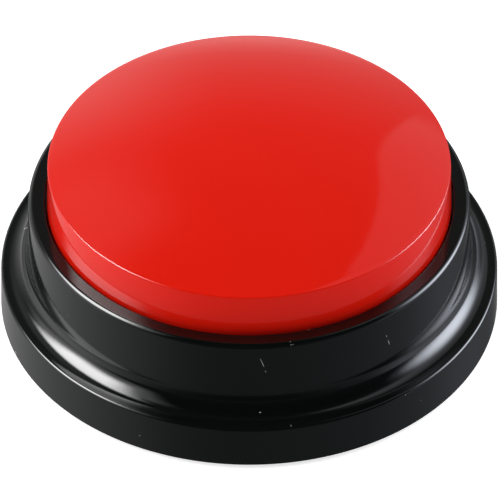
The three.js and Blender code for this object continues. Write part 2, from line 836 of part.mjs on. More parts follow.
function transistor() {
  const body = rod(2.1, 0, 3.6, 16).subtract(block([-3, 1.2, -1], [3, 3, 5]));
  return body.rotate([90, 0, 0]);
}

// ---- Power switch --------------------------------------------------------------------------

function powerCaseBody() {
  const low = coverTopZ + seatGap;
  const shell = block([-powerWidth / 2, -powerLength / 2, low], [powerWidth / 2, powerLength / 2, low + powerCase]);
  const window = block(
    [-knobWidth / 2 - 0.1, -(knobLength + powerTravel) / 2 - 0.1, low - throughCut],
    [knobWidth / 2 + 0.1, (knobLength + powerTravel) / 2 + 0.1, low + 1.2],
  );
  let body = shell.subtract(window);
  [-2.5, 0, 2.5].forEach((y) => {
    body = body.add(block([-0.3, y - 0.4, low + powerCase - 0.2], [0.3, y + 0.4, low + powerCase + 2.2]));
  });
  return body;
}

function powerKnob() {
  const top = coverTopZ + seatGap + 1.1;
  const stalk = block([-knobWidth / 2, -knobLength / 2, underZ + 0.15], [knobWidth / 2, knobLength / 2, top]);
  const grooves = [-0.8, 0, 0.8].map((y) => block([-2, y - 0.15, underZ], [2, y + 0.15, underZ + 0.4]));
  return cut(stalk, ...grooves);
}

// ---- Leads ---------------------------------------------------------------------------------

const leadRadius = 0.5;
const leadLift = seatGap + 0.24; // insulation ends this far from what it is soldered to

function lead(steps, ...points) {
  const curve = new THREE.CatmullRomCurve3(points.map((p) => new THREE.Vector3(...p)));
  return wire(curve, leadRadius, 6, steps);
}

const terminalX = magnetRadius + 1.5;
const terminalTop = basketTop + 1.4 + leadLift;
const underBoard = boardZ - leadLift;
const overBoard = boardTop + leadLift + leadRadius;
const overBay = bayTop + leadLift + leadRadius;
const tabX = contactX - leadLift - leadRadius;
const pinTop = coverTopZ + seatGap + powerCase + 2.2 + leadLift;

function speakerLead(side) {
  const y = speakerY + 2 * side;
  return lead(
    8,
    [terminalX, y, terminalTop],
    [terminalX + 0.5, y + side, terminalTop + 2],
    [terminalX, y + 2.2 * side, underBoard],
  );
}

function plusLead() {
  return lead(
    10,
    [tabX, nearCell, overBay],
    [tabX - 3.2, nearCell + 1.2, overBay + 0.3],
    [boardHalfWidth + 1.1, nearCell + 1.7, overBoard - 0.2],
    [boardHalfWidth - 1, nearCell + 1.9, overBoard + 0.1],
  );
}

function minusLead() {
  return lead(
    22,
    [tabX, farCell - 0.3, overBay + 0.1],
    [tabX - 5, farCell - 2.5, overBay],
    [0, bayY + 2.5, overBay],
    [-bayHalf, bayY + 2.5, overBay + 0.3],
    [-bayHalf - 4, bayY + 1.6, bayTop - 0.6],
    [powerX + 1.9, powerY + 4.5, pinTop + 2.2],
    [powerX + 0.2, powerY + 2.6, pinTop],
  );
}

function switchLead() {
  return lead(
    18,
    [powerX + 0.2, powerY, pinTop],
    [powerX + 1.9, powerY + 0.3, pinTop + 2.6],
    [-bayHalf - 4, powerY + 1.8, overBay - 0.3],
    [-bayHalf - 0.6, powerY + 2.6, overBay + 0.3],
    [-bayHalf + 4, powerY + 2.4, overBay + 0.4],
    [-boardHalfWidth - 1.3, powerY + 0.6, overBoard - 0.3],
    [-boardHalfWidth + 0.9, powerY + 0.4, overBoard + 0.1],
  );
}

// ---- Assembly ------------------------------------------------------------------------------

add("base_housing", housing(), blackPlastic);
add("button_cap", cap(), redPlastic);
add("plunger_tip", plungerTip(), blackRubber);
add("bottom_cover", cover(), blackPlastic);
add("battery_door", door(), blackPlastic);
add("battery_door_screw", doorScrew(), zincSteel).position.set(0, lugY, 0);

for (let i = 0; i < 4; i += 1) {
  const spring = add(`return_spring_${i + 1}`, returnSpring(), nickelSpring);
  spring.position.set(...onCircle(postPitchRadius, 90 * i), springSeatZ);
}

footAngles.forEach((angle, i) => {
  add(`rubber_foot_${i + 1}`, foot(), blackRubber).position.set(...onCircle(footPitchRadius, angle), 0);
});

screwAngles.forEach((angle, i) => {
  const screw = add(`housing_screw_${i + 1}`, panScrew(2.6, 1.5, 1.05, 11), zincSteel);
  screw.position.set(...onCircle(screwPitchRadius, angle), screwHeadZ);
});

const nearBattery = add("battery_near", cell(), cellJacket);
nearBattery.position.set(cellShift, nearCell, cellZ);
const farBattery = add("battery_far", cell(), cellJacket);
farBattery.position.set(-cellShift, farCell, cellZ);
farBattery.rotation.z = Math.PI;

const linkStrip = block(
  [contactX, nearCell + plateHalf - 0.2, cellZ],
  [contactX + contactThick, farCell - plateHalf + 0.2, bayRoof - 0.1],
);
const linkBody = join(
  contactPlate(nearCell),
  contactPlate(farCell),
  linkStrip,
  contactSpring(nearCell),
  contactBump(farCell),
);
// The link contact is made facing -X like the others, and mirrored to the bay's other end.
add("battery_link_contact", linkBody.mirror([1, 0, 0]), nickelSpring);
add("battery_plus_contact", join(contactPlate(nearCell), contactBump(nearCell)), nickelSpring);
add("battery_minus_contact", join(contactPlate(farCell), contactSpring(farCell)), nickelSpring);

const speaker = new THREE.Group();
speaker.position.set(0, speakerY, 0);
buzzer.add(speaker);
add("speaker_basket", speakerBasket(), zincSteel, speaker);
add("speaker_cone", speakerCone(), coneBlack, speaker);
add("speaker_magnet", speakerMagnet(), ferrite, speaker);
add("speaker_gasket", speakerGasket(), paper, speaker);
add("speaker_terminals", terminalStrip(), paper, speaker);
speakerScrewAngles.forEach((angle, i) => {
  const screw = add(`speaker_screw_${i + 1}`, panScrew(2.5, 0.9, 0.65, 2.8), zincSteel, speaker);
  screw.rotation.x = Math.PI;
  screw.position.set(...onCircle(speakerBossPitch, angle), speakerBossZ + 1.3);
});

add("circuit_board", board(), boardGreen);
add("sound_chip", epoxyBlob(), blackEpoxy).position.set(-9, -9, 0);
add("push_switch_case", tactCase(), greyPlastic);
add("push_switch_stem", tactStem(), blackEpoxy);
add("capacitor", capacitor(), blackEpoxy).position.set(7.5, -17, boardTop + 2);
add("resistor", resistor(), paper).position.set(12, -8, boardTop + 0.95);
add("transistor", transistor(), blackEpoxy).position.set(-2, -14.5, boardTop + 2.2);
[-boardScrewX, boardScrewX].forEach((x, i) => {
  const screw = add(`board_screw_${i + 1}`, panScrew(1.9, 1.1, 0.75, 4.6), zincSteel);
  screw.position.set(x, boardScrewY, boardZ - 1.1 - seatGap);
});

add("power_switch_case", powerCaseBody(), zincSteel).position.set(powerX, powerY, 0);
add("power_switch_knob", powerKnob(), greyPlastic).position.set(powerX, powerY - powerTravel / 2, 0);

add("speaker_lead_red", speakerLead(1), redWire);
add("speaker_lead_black", speakerLead(-1), blackWire);
add("battery_lead_red", plusLead(), redWire);
add("battery_lead_black", minusLead(), blackWire);
add("switch_lead_red", switchLead(), redWire);

export default buzzer;
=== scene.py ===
import bmesh
import bpy
import math
from mathutils import Matrix, Vector


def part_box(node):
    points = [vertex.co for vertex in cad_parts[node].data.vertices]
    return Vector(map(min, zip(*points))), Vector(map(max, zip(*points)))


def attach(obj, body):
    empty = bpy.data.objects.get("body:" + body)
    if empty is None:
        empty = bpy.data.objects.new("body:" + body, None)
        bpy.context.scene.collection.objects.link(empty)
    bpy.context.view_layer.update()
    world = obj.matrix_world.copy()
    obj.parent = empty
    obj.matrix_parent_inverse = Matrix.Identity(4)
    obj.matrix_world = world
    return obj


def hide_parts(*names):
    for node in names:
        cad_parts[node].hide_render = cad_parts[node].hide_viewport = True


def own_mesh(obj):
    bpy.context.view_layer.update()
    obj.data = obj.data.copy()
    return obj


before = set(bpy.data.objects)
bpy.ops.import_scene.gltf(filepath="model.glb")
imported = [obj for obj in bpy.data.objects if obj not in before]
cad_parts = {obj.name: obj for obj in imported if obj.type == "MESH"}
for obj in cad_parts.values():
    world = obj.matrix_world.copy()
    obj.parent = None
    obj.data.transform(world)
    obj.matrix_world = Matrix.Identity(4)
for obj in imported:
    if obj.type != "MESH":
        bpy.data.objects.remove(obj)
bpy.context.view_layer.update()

# Base housing. One injection moulding in glossy black ABS: lower step, hollow, ring, and inside the
# ring the well with its trough and platform. Guides, hook slots and bosses are moulded with it.
# The tool is polished, so the skin is smooth apart from a faint orange peel.

MM = 0.001


def arc(cx, cz, radius, start, end, count):
    """Points of an arc in the outline's plane, angles in degrees."""
    spots = []
    for i in range(count + 1):
        a = math.radians(start + (end - start) * i / count)
        spots.append((cx + radius * math.cos(a), cz + radius * math.sin(a)))
    return spots


def on_circle(radius, degrees):
    """A place on a circle about the middle."""
    return radius * math.cos(math.radians(degrees)), radius * math.sin(math.radians(degrees))


def held(outline, closed=True, reach=0.12):
    """Adds a point near both ends of each long straight, so that shading stays flat there."""
    spots = []
    count = len(outline)
    for i, (ax, az) in enumerate(outline):
        spots.append((ax, az))
        if i == count - 1 and not closed:
            break
        bx, bz = outline[(i + 1) % count]
        length = math.hypot(bx - ax, bz - az)
        if length > 4 * reach:
            for t in (reach / length, 1 - reach / length):
                spots.append((ax + (bx - ax) * t, az + (bz - az) * t))
    return spots


def lathe(outline, steps=64, closed=True, start=0.0):
    """A turned body about Z, in millimetres. An open outline starts and ends on the axis."""
    made = bmesh.new()
    rings = []
    for radius, z in outline:
        if radius < 1e-6:
            rings.append([made.verts.new((0, 0, z))])
            continue
        ring = []
        for k in range(steps):
            a = start + 2 * math.pi * k / steps
            ring.append(made.verts.new((radius * math.cos(a), radius * math.sin(a), z)))
        rings.append(ring)
    pairs = list(zip(rings, rings[1:]))
    if closed:
        pairs.append((rings[-1], rings[0]))
    for low, high in pairs:
        for k in range(steps):
            n = (k + 1) % steps
            if len(low) == 1 and len(high) == 1:
                continue
            if len(low) == 1:
                made.faces.new((low[0], high[n], high[k]))
            elif len(high) == 1:
                made.faces.new((low[k], low[n], high[0]))
            else:
                made.faces.new((low[k], low[n], high[n], high[k]))
    bmesh.ops.recalc_face_normals(made, faces=made.faces)
    return made


def tube(x, y, outer, inner, low, high, steps=32, edge=0.0):
    """An upright tube, or a rod where inner is 0, with its outer edges broken by edge."""
    rim = [(outer - edge, low), (outer, low + edge), (outer, high - edge), (outer - edge, high)]
    if edge == 0:
        rim = [(outer, low), (outer, high)]
    if inner > 0:
        made = lathe([(inner, low)] + rim + [(inner, high)], steps)
    else:
        made = lathe([(0, low)] + rim + [(0, high)], steps, closed=False)
    bmesh.ops.translate(made, vec=(x, y, 0), verts=made.verts)
    return made


def bar(low, high, edge=0.0, turn=0.0):
    """A block between two corners, with broken edges, turned about Z by turn degrees."""
    made = bmesh.new()
    bmesh.ops.create_cube(made, size=1)
    size = [h - l for l, h in zip(low, high)]
    middle = [(h + l) / 2 for l, h in zip(low, high)]
    bmesh.ops.scale(made, vec=size, verts=made.verts)
    bmesh.ops.translate(made, vec=middle, verts=made.verts)
    if edge > 0:
        bmesh.ops.bevel(made, geom=made.edges, offset=edge, segments=2, affect="EDGES", profile=0.5)
    bmesh.ops.rotate(
        made, cent=(0, 0, 0), matrix=Matrix.Rotation(math.radians(turn), 3, "Z"), verts=made.verts
    )
    return made


def gather(parts):
    """Several bmeshes as one; the parts are freed."""
    whole = bmesh.new()
    for part in parts:
        held_mesh = bpy.data.meshes.new("part")
        part.to_mesh(held_mesh)
        part.free()
        whole.from_mesh(held_mesh)
        bpy.data.meshes.remove(held_mesh)
    return whole


def as_object(name, made):
    """A scene object from a bmesh in millimetres."""
    bmesh.ops.scale(made, vec=(MM, MM, MM), verts=made.verts)
    mesh = bpy.data.meshes.new(name)
    made.to_mesh(mesh)
    made.free()
    piece = bpy.data.objects.new(name, mesh)
    bpy.context.scene.collection.objects.link(piece)
    return piece


def join_or_cut(piece, made, how):
    """Changes a piece by the solids in made: UNION, DIFFERENCE or INTERSECT."""
    tool = as_object("tool", made)
    change = piece.modifiers.new("shape", "BOOLEAN")
    change.operation = how
    change.solver = "EXACT"
    change.use_self = how == "UNION"
    change.object = tool
    view = bpy.context.evaluated_depsgraph_get()
    mesh = bpy.data.meshes.new_from_object(piece.evaluated_get(view))
    piece.modifiers.clear()
    old = piece.data
    piece.data = mesh
    bpy.data.meshes.remove(old)
    spent = tool.data
    bpy.data.objects.remove(tool)
    bpy.data.meshes.remove(spent)
    mesh.name = piece.name
    return piece


def finish_piece(piece, finish, body, nodes, sharp=32):
    """Smooths a finished mesh, gives it its material, and lets it stand for its CAD nodes."""
    piece.data.materials.clear()
    piece.data.materials.append(finish)
    piece.data.shade_smooth()
    piece.data.set_sharp_from_angle(angle=math.radians(sharp))
    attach(piece, body)
    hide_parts(*nodes)
    return piece


housing_low, housing_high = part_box("base_housing")
underside = housing_low.z / MM
base_radius = housing_high.x / MM
flange_z = underside + 8.5
rim_z = underside + 23.1
lip_z = rim_z + 0.45
lip_round = 0.85
clearance = 0.06
cap_travel = 3.5
skirt_drop = 3.3
shell_wall = 2.0
rim_radius = 39.55
cove_top = 39.9
cove_radius = 3.9
cove_x = cove_top + cove_radius
cove_z = flange_z + cove_radius
inner_radius = base_radius - shell_wall - 0.2
well_radius = 36.65
platform_z = rim_z - 1.9
platform_under = platform_z - 1.6
trough_z = rim_z - skirt_drop - cap_travel - 0.5
trough_under = trough_z - 1.6
trough_inner = 34.2
platform_radius = 32.8
post_pitch = 24.0
quarter_turns = (0, 90, 180, 270)
cover_screw_circle = 35
cover_screw_turns = (90, 200, 340)
board_hole_x = (-13.2, 13.2)
board_screw_y = -18
board_peg_y = 6
hook_pitch = 28.0
guide_outer = 3.2
guide_bore = 2.25
guide_top = housing_high.z / MM
board_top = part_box("circuit_board")[1].z / MM

inside_end = math.degrees(math.pi + math.acos((cove_x - inner_radius) / (cove_radius + shell_wall)))
shell_outline = held(
    [
        (base_radius - shell_wall, underside),
        (base_radius - 0.25, underside),
        (base_radius, underside + 0.25),
    ]
    + arc(base_radius - 0.7, flange_z - 0.5, 0.5, 0, 90, 7)
    + arc(cove_x, cove_z, cove_radius, 270, 180, 18)
    + arc(rim_radius - lip_round, lip_z - lip_round, lip_round, 0, 90, 12)
    + arc(well_radius + 0.15, lip_z - 0.15, 0.15, 90, 180, 4)
    + [(well_radius, trough_z), (trough_inner, trough_z)]
    + arc(trough_inner - 0.4, platform_z - 0.4, 0.4, 0, 90, 3)
    + [(4.2, platform_z), (4.2, platform_under), (platform_radius, platform_under)]
    + [(platform_radius, trough_under), (cove_top - shell_wall, trough_under)]
    + arc(cove_x, cove_z, cove_radius + shell_wall, 180, inside_end, 8)
)
housing = as_object("base_housing_shell", lathe(shell_outline, 192))

boss_parts = []
for turn in cover_screw_turns:
    x, y = on_circle(cover_screw_circle, turn)
    boss_parts.append(tube(x, y, 3.2, 1.15, 5.06, trough_under + 0.3, 32))
for x in board_hole_x:
    boss_parts.append(
        tube(x, board_screw_y, 2.1, 0.85, board_top + clearance, platform_under + 0.3, 24)
    )
    boss_parts.append(tube(x, board_peg_y, 1.6, 0, board_top + clearance, platform_under + 0.3, 24))
    boss_parts.append(tube(x, board_peg_y, 0.9, 0, board_top - 1.1, board_top + 0.5, 24, 0.15))
for turn in quarter_turns:
    x, y = on_circle(post_pitch, turn)
    boss_parts.append(tube(x, y, guide_outer, 0, platform_z - 0.3, guide_top, 32, 0.15))
join_or_cut(housing, gather(boss_parts), "UNION")

opening_parts = []
for turn in quarter_turns:
    x, y = on_circle(post_pitch, turn)
    opening_parts.append(tube(x, y, guide_bore, 0, platform_under - 1, guide_top + 1, 32))
    opening_parts.append(
        bar(
            (hook_pitch - 1, -2.7, platform_under - 1),
            (hook_pitch + 2, 2.7, platform_z + 1),
            0,
            turn + 45,
        )
    )
join_or_cut(housing, gather(opening_parts), "DIFFERENCE")


def node_group(name, inputs, outputs):
    """An empty shader group with named sockets: (name, socket type, default)."""
    group = bpy.data.node_groups.new(name, "ShaderNodeTree")
    for label, kind, default in inputs:
        socket = group.interface.new_socket(name=label, in_out="INPUT", socket_type=kind)
        socket.default_value = default
    for label, kind in outputs:
        group.interface.new_socket(name=label, in_out="OUTPUT", socket_type=kind)
    source = group.nodes.new("NodeGroupInput")
    sink = group.nodes.new("NodeGroupOutput")
    return group, source, sink


def node(tree, kind, **settings):
    """A new node; numbered or named inputs are set through a dict called inputs."""
    made = tree.nodes.new(kind)
    given = settings.pop("inputs", {})
    for key, value in settings.items():
        setattr(made, key, value)
    for key, value in given.items():
        made.inputs[key].default_value = value
    return made


def ramp(tree, source, low, high):
    """Maps the source from low..high to 0..1, clamped."""
    made = node(tree, "ShaderNodeMapRange", inputs={"From Min": low, "From Max": high})
    tree.links.new(source, made.inputs["Value"])
    return made.outputs["Result"]


def mixed(tree, factor, first, second):
    """A colour mix; each side is a colour or an output."""
    made = node(tree, "ShaderNodeMix", data_type="RGBA")
    tree.links.new(factor, made.inputs["Factor"])
    for socket, value in ((made.inputs[6], first), (made.inputs[7], second)):
        if isinstance(value, bpy.types.NodeSocket):
            tree.links.new(value, socket)
        else:
            socket.default_value = value
    return made.outputs[2]


def maths(tree, operation, first, second):
    """One arithmetic step; each side is a number or an output."""
    made = node(tree, "ShaderNodeMath", operation=operation)
    for socket, value in zip(made.inputs, (first, second)):
        if isinstance(value, bpy.types.NodeSocket):
            tree.links.new(value, socket)
        else:
            socket.default_value = value
    return made.outputs[0]


def eased(tree, source, factor, base):
    """A value times a factor, plus a base."""
    made = maths(tree, "MULTIPLY_ADD", source, factor)
    made.node.inputs[2].default_value = base
    return made


# The moulded skin: a faint long wave from the melt's flow, and the fine peel of a polished tool.
moulded_skin, skin_in, skin_out = node_group(
    "Moulded skin",
    [("Flow size", "NodeSocketFloat", 60.0), ("Peel size", "NodeSocketFloat", 900.0)],
    [("Height", "NodeSocketFloat"), ("Tone", "NodeSocketFloat")],
)
skin_place = node(moulded_skin, "ShaderNodeTexCoord")
flow = node(moulded_skin, "ShaderNodeTexNoise", inputs={"Detail": 2.0, "Roughness": 0.45})
peel = node(moulded_skin, "ShaderNodeTexNoise", inputs={"Detail": 3.0, "Roughness": 0.6})
for wave, size in ((flow, "Flow size"), (peel, "Peel size")):
    moulded_skin.links.new(skin_place.outputs["Object"], wave.inputs["Vector"])
    moulded_skin.links.new(skin_in.outputs[size], wave.inputs["Scale"])
peel_share = maths(moulded_skin, "MULTIPLY", peel.outputs["Fac"], 0.3)
moulded_skin.links.new(
    maths(moulded_skin, "ADD", flow.outputs["Fac"], peel_share), skin_out.inputs["Height"]
)
moulded_skin.links.new(flow.outputs["Fac"], skin_out.inputs["Tone"])

# Settled dust: sparse round specks of mixed size and a few short lint fibres.
settled_dust, dust_in, dust_out = node_group(
    "Settled dust",
    [("Spacing", "NodeSocketFloat", 170.0), ("Amount", "NodeSocketFloat", 0.12)],
    [("Specks", "NodeSocketFloat"), ("Fibres", "NodeSocketFloat")],
)
dust_place = node(settled_dust, "ShaderNodeTexCoord")
cells = node(settled_dust, "ShaderNodeTexVoronoi", inputs={"Randomness": 1.0})
settled_dust.links.new(dust_place.outputs["Object"], cells.inputs["Vector"])
settled_dust.links.new(dust_in.outputs["Spacing"], cells.inputs["Scale"])
speck_hue = node(settled_dust, "ShaderNodeSeparateColor")
settled_dust.links.new(cells.outputs["Color"], speck_hue.inputs["Color"])
speck_kept = maths(settled_dust, "LESS_THAN", speck_hue.outputs["Red"], dust_in.outputs["Amount"])
speck_size = eased(settled_dust, speck_hue.outputs["Green"], 0.028, 0.012)
speck_near = maths(settled_dust, "LESS_THAN", cells.outputs["Distance"], speck_size)
settled_dust.links.new(
    maths(settled_dust, "MULTIPLY", speck_near, speck_kept), dust_out.inputs["Specks"]
)
fibre_warp = node(settled_dust, "ShaderNodeTexNoise", inputs={"Scale": 260.0, "Detail": 1.0})
settled_dust.links.new(dust_place.outputs["Object"], fibre_warp.inputs["Vector"])
fibre_bend = node(settled_dust, "ShaderNodeVectorMath", operation="MULTIPLY_ADD")
fibre_bend.inputs[1].default_value = (0.004, 0.004, 0.004)
settled_dust.links.new(fibre_warp.outputs["Color"], fibre_bend.inputs[0])
settled_dust.links.new(dust_place.outputs["Object"], fibre_bend.inputs[2])
fibre_lay = node(
    settled_dust,
    "ShaderNodeMapping",
    inputs={"Rotation": (0.5, 0.9, 0.4), "Scale": (620.0, 620.0, 75.0)},
)
settled_dust.links.new(fibre_bend.outputs["Vector"], fibre_lay.inputs["Vector"])
fibre_cells = node(settled_dust, "ShaderNodeTexVoronoi", inputs={"Scale": 1.0, "Randomness": 1.0})
settled_dust.links.new(fibre_lay.outputs["Vector"], fibre_cells.inputs["Vector"])
fibre_hue = node(settled_dust, "ShaderNodeSeparateColor")
settled_dust.links.new(fibre_cells.outputs["Color"], fibre_hue.inputs["Color"])
fibre_kept = maths(settled_dust, "LESS_THAN", fibre_hue.outputs["Red"], 0.006)
fibre_near = maths(settled_dust, "LESS_THAN", fibre_cells.outputs["Distance"], 0.12)
settled_dust.links.new(
    maths(settled_dust, "MULTIPLY", fibre_near, fibre_kept), dust_out.inputs["Fibres"]
)

# A lint fibre: a thin, slightly wavy line from one place to another, in metres.
lint_fibre, fibre_in, fibre_out = node_group(
    "Lint fibre",
    [
        ("From", "NodeSocketVector", (0, 0, 0)),
        ("To", "NodeSocketVector", (0, 0, 0)),
        ("Half width", "NodeSocketFloat", 0.00005),
    ],
    [("Fibre", "NodeSocketFloat")],
)
fibre_place = node(lint_fibre, "ShaderNodeTexCoord")
fibre_wave = node(lint_fibre, "ShaderNodeTexNoise", inputs={"Scale": 420.0, "Detail": 1.0})
lint_fibre.links.new(fibre_place.outputs["Object"], fibre_wave.inputs["Vector"])


def vector_maths(tree, operation, first, second):
    """One step of vector arithmetic; each side is a vector, a number or an output."""
    made = node(tree, "ShaderNodeVectorMath", operation=operation)
    sockets = [made.inputs[0], made.inputs["Scale"] if operation == "SCALE" else made.inputs[1]]
    for socket, value in zip(sockets, (first, second)):
        if isinstance(value, bpy.types.NodeSocket):
            tree.links.new(value, socket)
        else:
            socket.default_value = value
    return made.outputs["Value"] if operation in (
        "DOT_PRODUCT", "LENGTH"
    ) else made.outputs["Vector"]


fibre_sway = vector_maths(
    lint_fibre,
    "SCALE",
    vector_maths(lint_fibre, "SUBTRACT", fibre_wave.outputs["Color"], (0.5, 0.5, 0.5)),
    0.0003,
)
fibre_from = vector_maths(
    lint_fibre, "SUBTRACT", fibre_place.outputs["Object"], fibre_in.outputs["From"]
)
fibre_from = vector_maths(lint_fibre, "ADD", fibre_from, fibre_sway)
fibre_run = vector_maths(lint_fibre, "SUBTRACT", fibre_in.outputs["To"], fibre_in.outputs["From"])
fibre_along = maths(
    lint_fibre,
    "DIVIDE",
    vector_maths(lint_fibre, "DOT_PRODUCT", fibre_from, fibre_run),
    vector_maths(lint_fibre, "DOT_PRODUCT", fibre_run, fibre_run),
)
fibre_along = maths(lint_fibre, "MINIMUM", maths(lint_fibre, "MAXIMUM", fibre_along, 0.0), 1.0)
fibre_off = vector_maths(
    lint_fibre, "SUBTRACT", fibre_from, vector_maths(lint_fibre, "SCALE", fibre_run, fibre_along)
)
fibre_kept = maths(
    lint_fibre,
    "LESS_THAN",
    vector_maths(lint_fibre, "LENGTH", fibre_off, (0, 0, 0)),
    fibre_in.outputs["Half width"],
)
lint_fibre.links.new(fibre_kept, fibre_out.inputs["Fibre"])

# Handling marks: long hairline scratches in crossing directions that only a glancing light shows.
hairlines, hair_in, hair_out = node_group(
    "Hairline scratches",
    [("Density", "NodeSocketFloat", 1.0)],
    [("Lines", "NodeSocketFloat")],
)
hair_place = node(hairlines, "ShaderNodeTexCoord")
hair_total = None
for angle in (0.35, 1.45, 2.5):
    lay = node(
        hairlines,
        "ShaderNodeMapping",
        inputs={"Rotation": (0.3, angle, angle), "Scale": (420.0, 9.0, 9.0)},
    )
    hairlines.links.new(hair_place.outputs["Object"], lay.inputs["Vector"])
    strand = node(
        hairlines, "ShaderNodeTexNoise", inputs={"Scale": 1.0, "Detail": 1.0, "Distortion": 0.4}
    )
    hairlines.links.new(lay.outputs["Vector"], strand.inputs["Vector"])
    line = ramp(hairlines, strand.outputs["Fac"], 0.73, 0.78)
    hair_total = line if hair_total is None else maths(hairlines, "MAXIMUM", hair_total, line)
hairlines.links.new(
    maths(hairlines, "MULTIPLY", hair_total, hair_in.outputs["Density"]), hair_out.inputs["Lines"]
)


def new_finish(name, roughness, metallic=0.0, ior=1.5):
    """A material with its Principled shader, ready for the piece's own nodes."""
    finish = bpy.data.materials.new(name)
    finish.use_nodes = True
    shader = finish.node_tree.nodes["Principled BSDF"]
    shader.inputs["Roughness"].default_value = roughness
    shader.inputs["Metallic"].default_value = metallic
    shader.inputs["IOR"].default_value = ior
    return finish, finish.node_tree, shader


def placed(tree, group, **values):
    """One use of a shared effect, with its own values."""
    made = node(tree, "ShaderNodeGroup")
    made.node_tree = group
    for key, value in values.items():
        made.inputs[key.replace("_", " ")].default_value = value
    return made


def bumped(tree, shader, height, strength, distance):
    """A bump from a height into the shader's normal."""
    made = node(tree, "ShaderNodeBump", inputs={"Strength": strength, "Distance": distance})
    tree.links.new(height, made.inputs["Height"])
    tree.links.new(made.outputs["Normal"], shader.inputs["Normal"])
    return made


black_gloss, tree, shader = new_finish("Glossy black housing", 0.09)
skin = placed(tree, moulded_skin, Flow_size=45.0, Peel_size=700.0)
dust = placed(tree, settled_dust, Spacing=400.0, Amount=0.3)
marks = placed(tree, hairlines, Density=0.5)
shade = mixed(tree, skin.outputs["Tone"], (0.0021, 0.0033, 0.0029, 1), (0.0031, 0.0045, 0.0040, 1))
lint = maths(tree, "MAXIMUM", dust.outputs["Specks"], dust.outputs["Fibres"])
for ends in (
    ((1.9, -39.57, 21.3), (2.9, -39.61, 18.3)),
    ((7.2, -38.33, 24.3), (7.3, -38.83, 23.8)),
    ((7.1, -41.3, 10.2), (7.2, -42.5, 9.52)),
    ((7.2, -42.5, 9.52), (7.35, -43.8, 9.3)),
    ((-31.0, 20.5, 24.35), (-30.2, 21.6, 24.35)),
    ((24.1, -31.52, 19.5), (24.65, -31.19, 17.2)),
    ((-38.7, -22.96, 6.4), (-38.25, -23.7, 3.9)),
):
    thread = placed(
        tree, lint_fibre, From=[end * MM for end in ends[0]], To=[end * MM for end in ends[1]]
    )
    lint = maths(tree, "MAXIMUM", lint, thread.outputs["Fibre"])
shade = mixed(tree, maths(tree, "MULTIPLY", lint, 0.85), shade, (0.40, 0.41, 0.40, 1))
tree.links.new(shade, shader.inputs["Base Color"])
rough = eased(tree, skin.outputs["Tone"], 0.05, 0.055)
rough = maths(tree, "ADD", rough, maths(tree, "MULTIPLY", lint, 0.5))
rough = maths(tree, "ADD", rough, maths(tree, "MULTIPLY", marks.outputs["Lines"], 0.06))
tree.links.new(rough, shader.inputs["Roughness"])
bumped(tree, shader, skin.outputs["Height"], 0.035, 0.0006)
finish_piece(housing, black_gloss, "housing", ["base_housing"])

# Button cap. One injection moulding in glossy red ABS: a low dome with a crisp crease, a wall that
# flares a little to its skirt, and inside it four guide posts, four spring bosses, four snap hooks,
# a hollow plunger and ribs. The hooks spring in through the platform and hold the cap.

cap_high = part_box("button_cap")[1]
skirt_z = rim_z - skirt_drop
apex_z = cap_high.z / MM
skirt_radius = well_radius - 0.3
crown_radius = skirt_radius - 0.4
crease_z = rim_z + 8.45
dome_rise = apex_z - crease_z
dome_sphere = (crown_radius**2 + dome_rise**2) / (2 * dome_rise)
cap_wall = 2.0
side_wall = 1.75
spring_height = 7
boss_z = platform_z + clearance + spring_height + clearance
catch_z = platform_under - clearance
plunger_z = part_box("plunger_tip")[0].z / MM + 1.4 + clearance


def dome(radius, sphere, top):
    """Height of the dome over a radius."""
    return top - sphere + math.sqrt(sphere * sphere - radius * radius)


crease_round = 0.28
edge_slope = math.degrees(math.asin((crown_radius - crease_round) / dome_sphere))
flare = math.degrees(math.atan((skirt_radius - crown_radius) / (crease_z - skirt_z)))
round_x = crown_radius - crease_round
round_z = dome(round_x, dome_sphere, apex_z) - crease_round
crown = arc(round_x, round_z, crease_round, flare, 90 - edge_slope, 7)
outer_dome = [crown[-1][0] * (1 - i / 40) for i in range(1, 40)]
outer_dome = [(r, dome(r, dome_sphere, apex_z)) for r in outer_dome] + [(0, apex_z)]
inner_sphere = dome_sphere - cap_wall
inner_dome = [(0, apex_z - cap_wall)]
for i in range(1, 17):
    r = (crown_radius - side_wall - 0.15) * i / 16
    inner_dome.append((r, dome(r, inner_sphere, apex_z - cap_wall)))
skirt_outline = [
    (skirt_radius - side_wall, skirt_z),
    (skirt_radius - 0.2, skirt_z),
    (skirt_radius, skirt_z + 0.2),
]
shell_outer = held(skirt_outline + crown, closed=False)
cap_outline = inner_dome + shell_outer + outer_dome
cap_piece = as_object("button_cap_shell", lathe(cap_outline, 192, closed=False))

inner_parts = []
for turn in quarter_turns:
    x, y = on_circle(post_pitch, turn)
    inner_parts.append(tube(x, y, 2.0, 0, platform_z - 2, apex_z, 32, 0.2))
    inner_parts.append(tube(x, y, 4.25, 0, boss_z, apex_z, 32, 0.15))
    inner_parts.append(bar((2.8, -0.6, boss_z + 1.5), (35, 0.6, apex_z), 0, turn))
    inner_parts.append(bar((27.2, -2.5, catch_z - 1.5), (28.8, 2.5, apex_z), 0, turn + 45))
inner_parts.append(tube(0, 0, 3.4, 2.2, plunger_z, apex_z, 32, 0.1))
inside = as_object("cap_inside", inner_parts.pop())
join_or_cut(inside, gather(inner_parts), "UNION")
fill_outline = [(0, -5), (skirt_radius - 1.0, -5), (crown_radius - 1.0, crease_z - 1.2)]
fill_outline += (
    [(r, dome(r, dome_sphere, apex_z) - 1.0) for r in [33, 29, 25, 21, 17, 13, 9, 5]]
    + [(0, apex_z - 1.0)]
)
join_or_cut(inside, lathe(fill_outline, 96, closed=False), "INTERSECT")
barb_parts = []
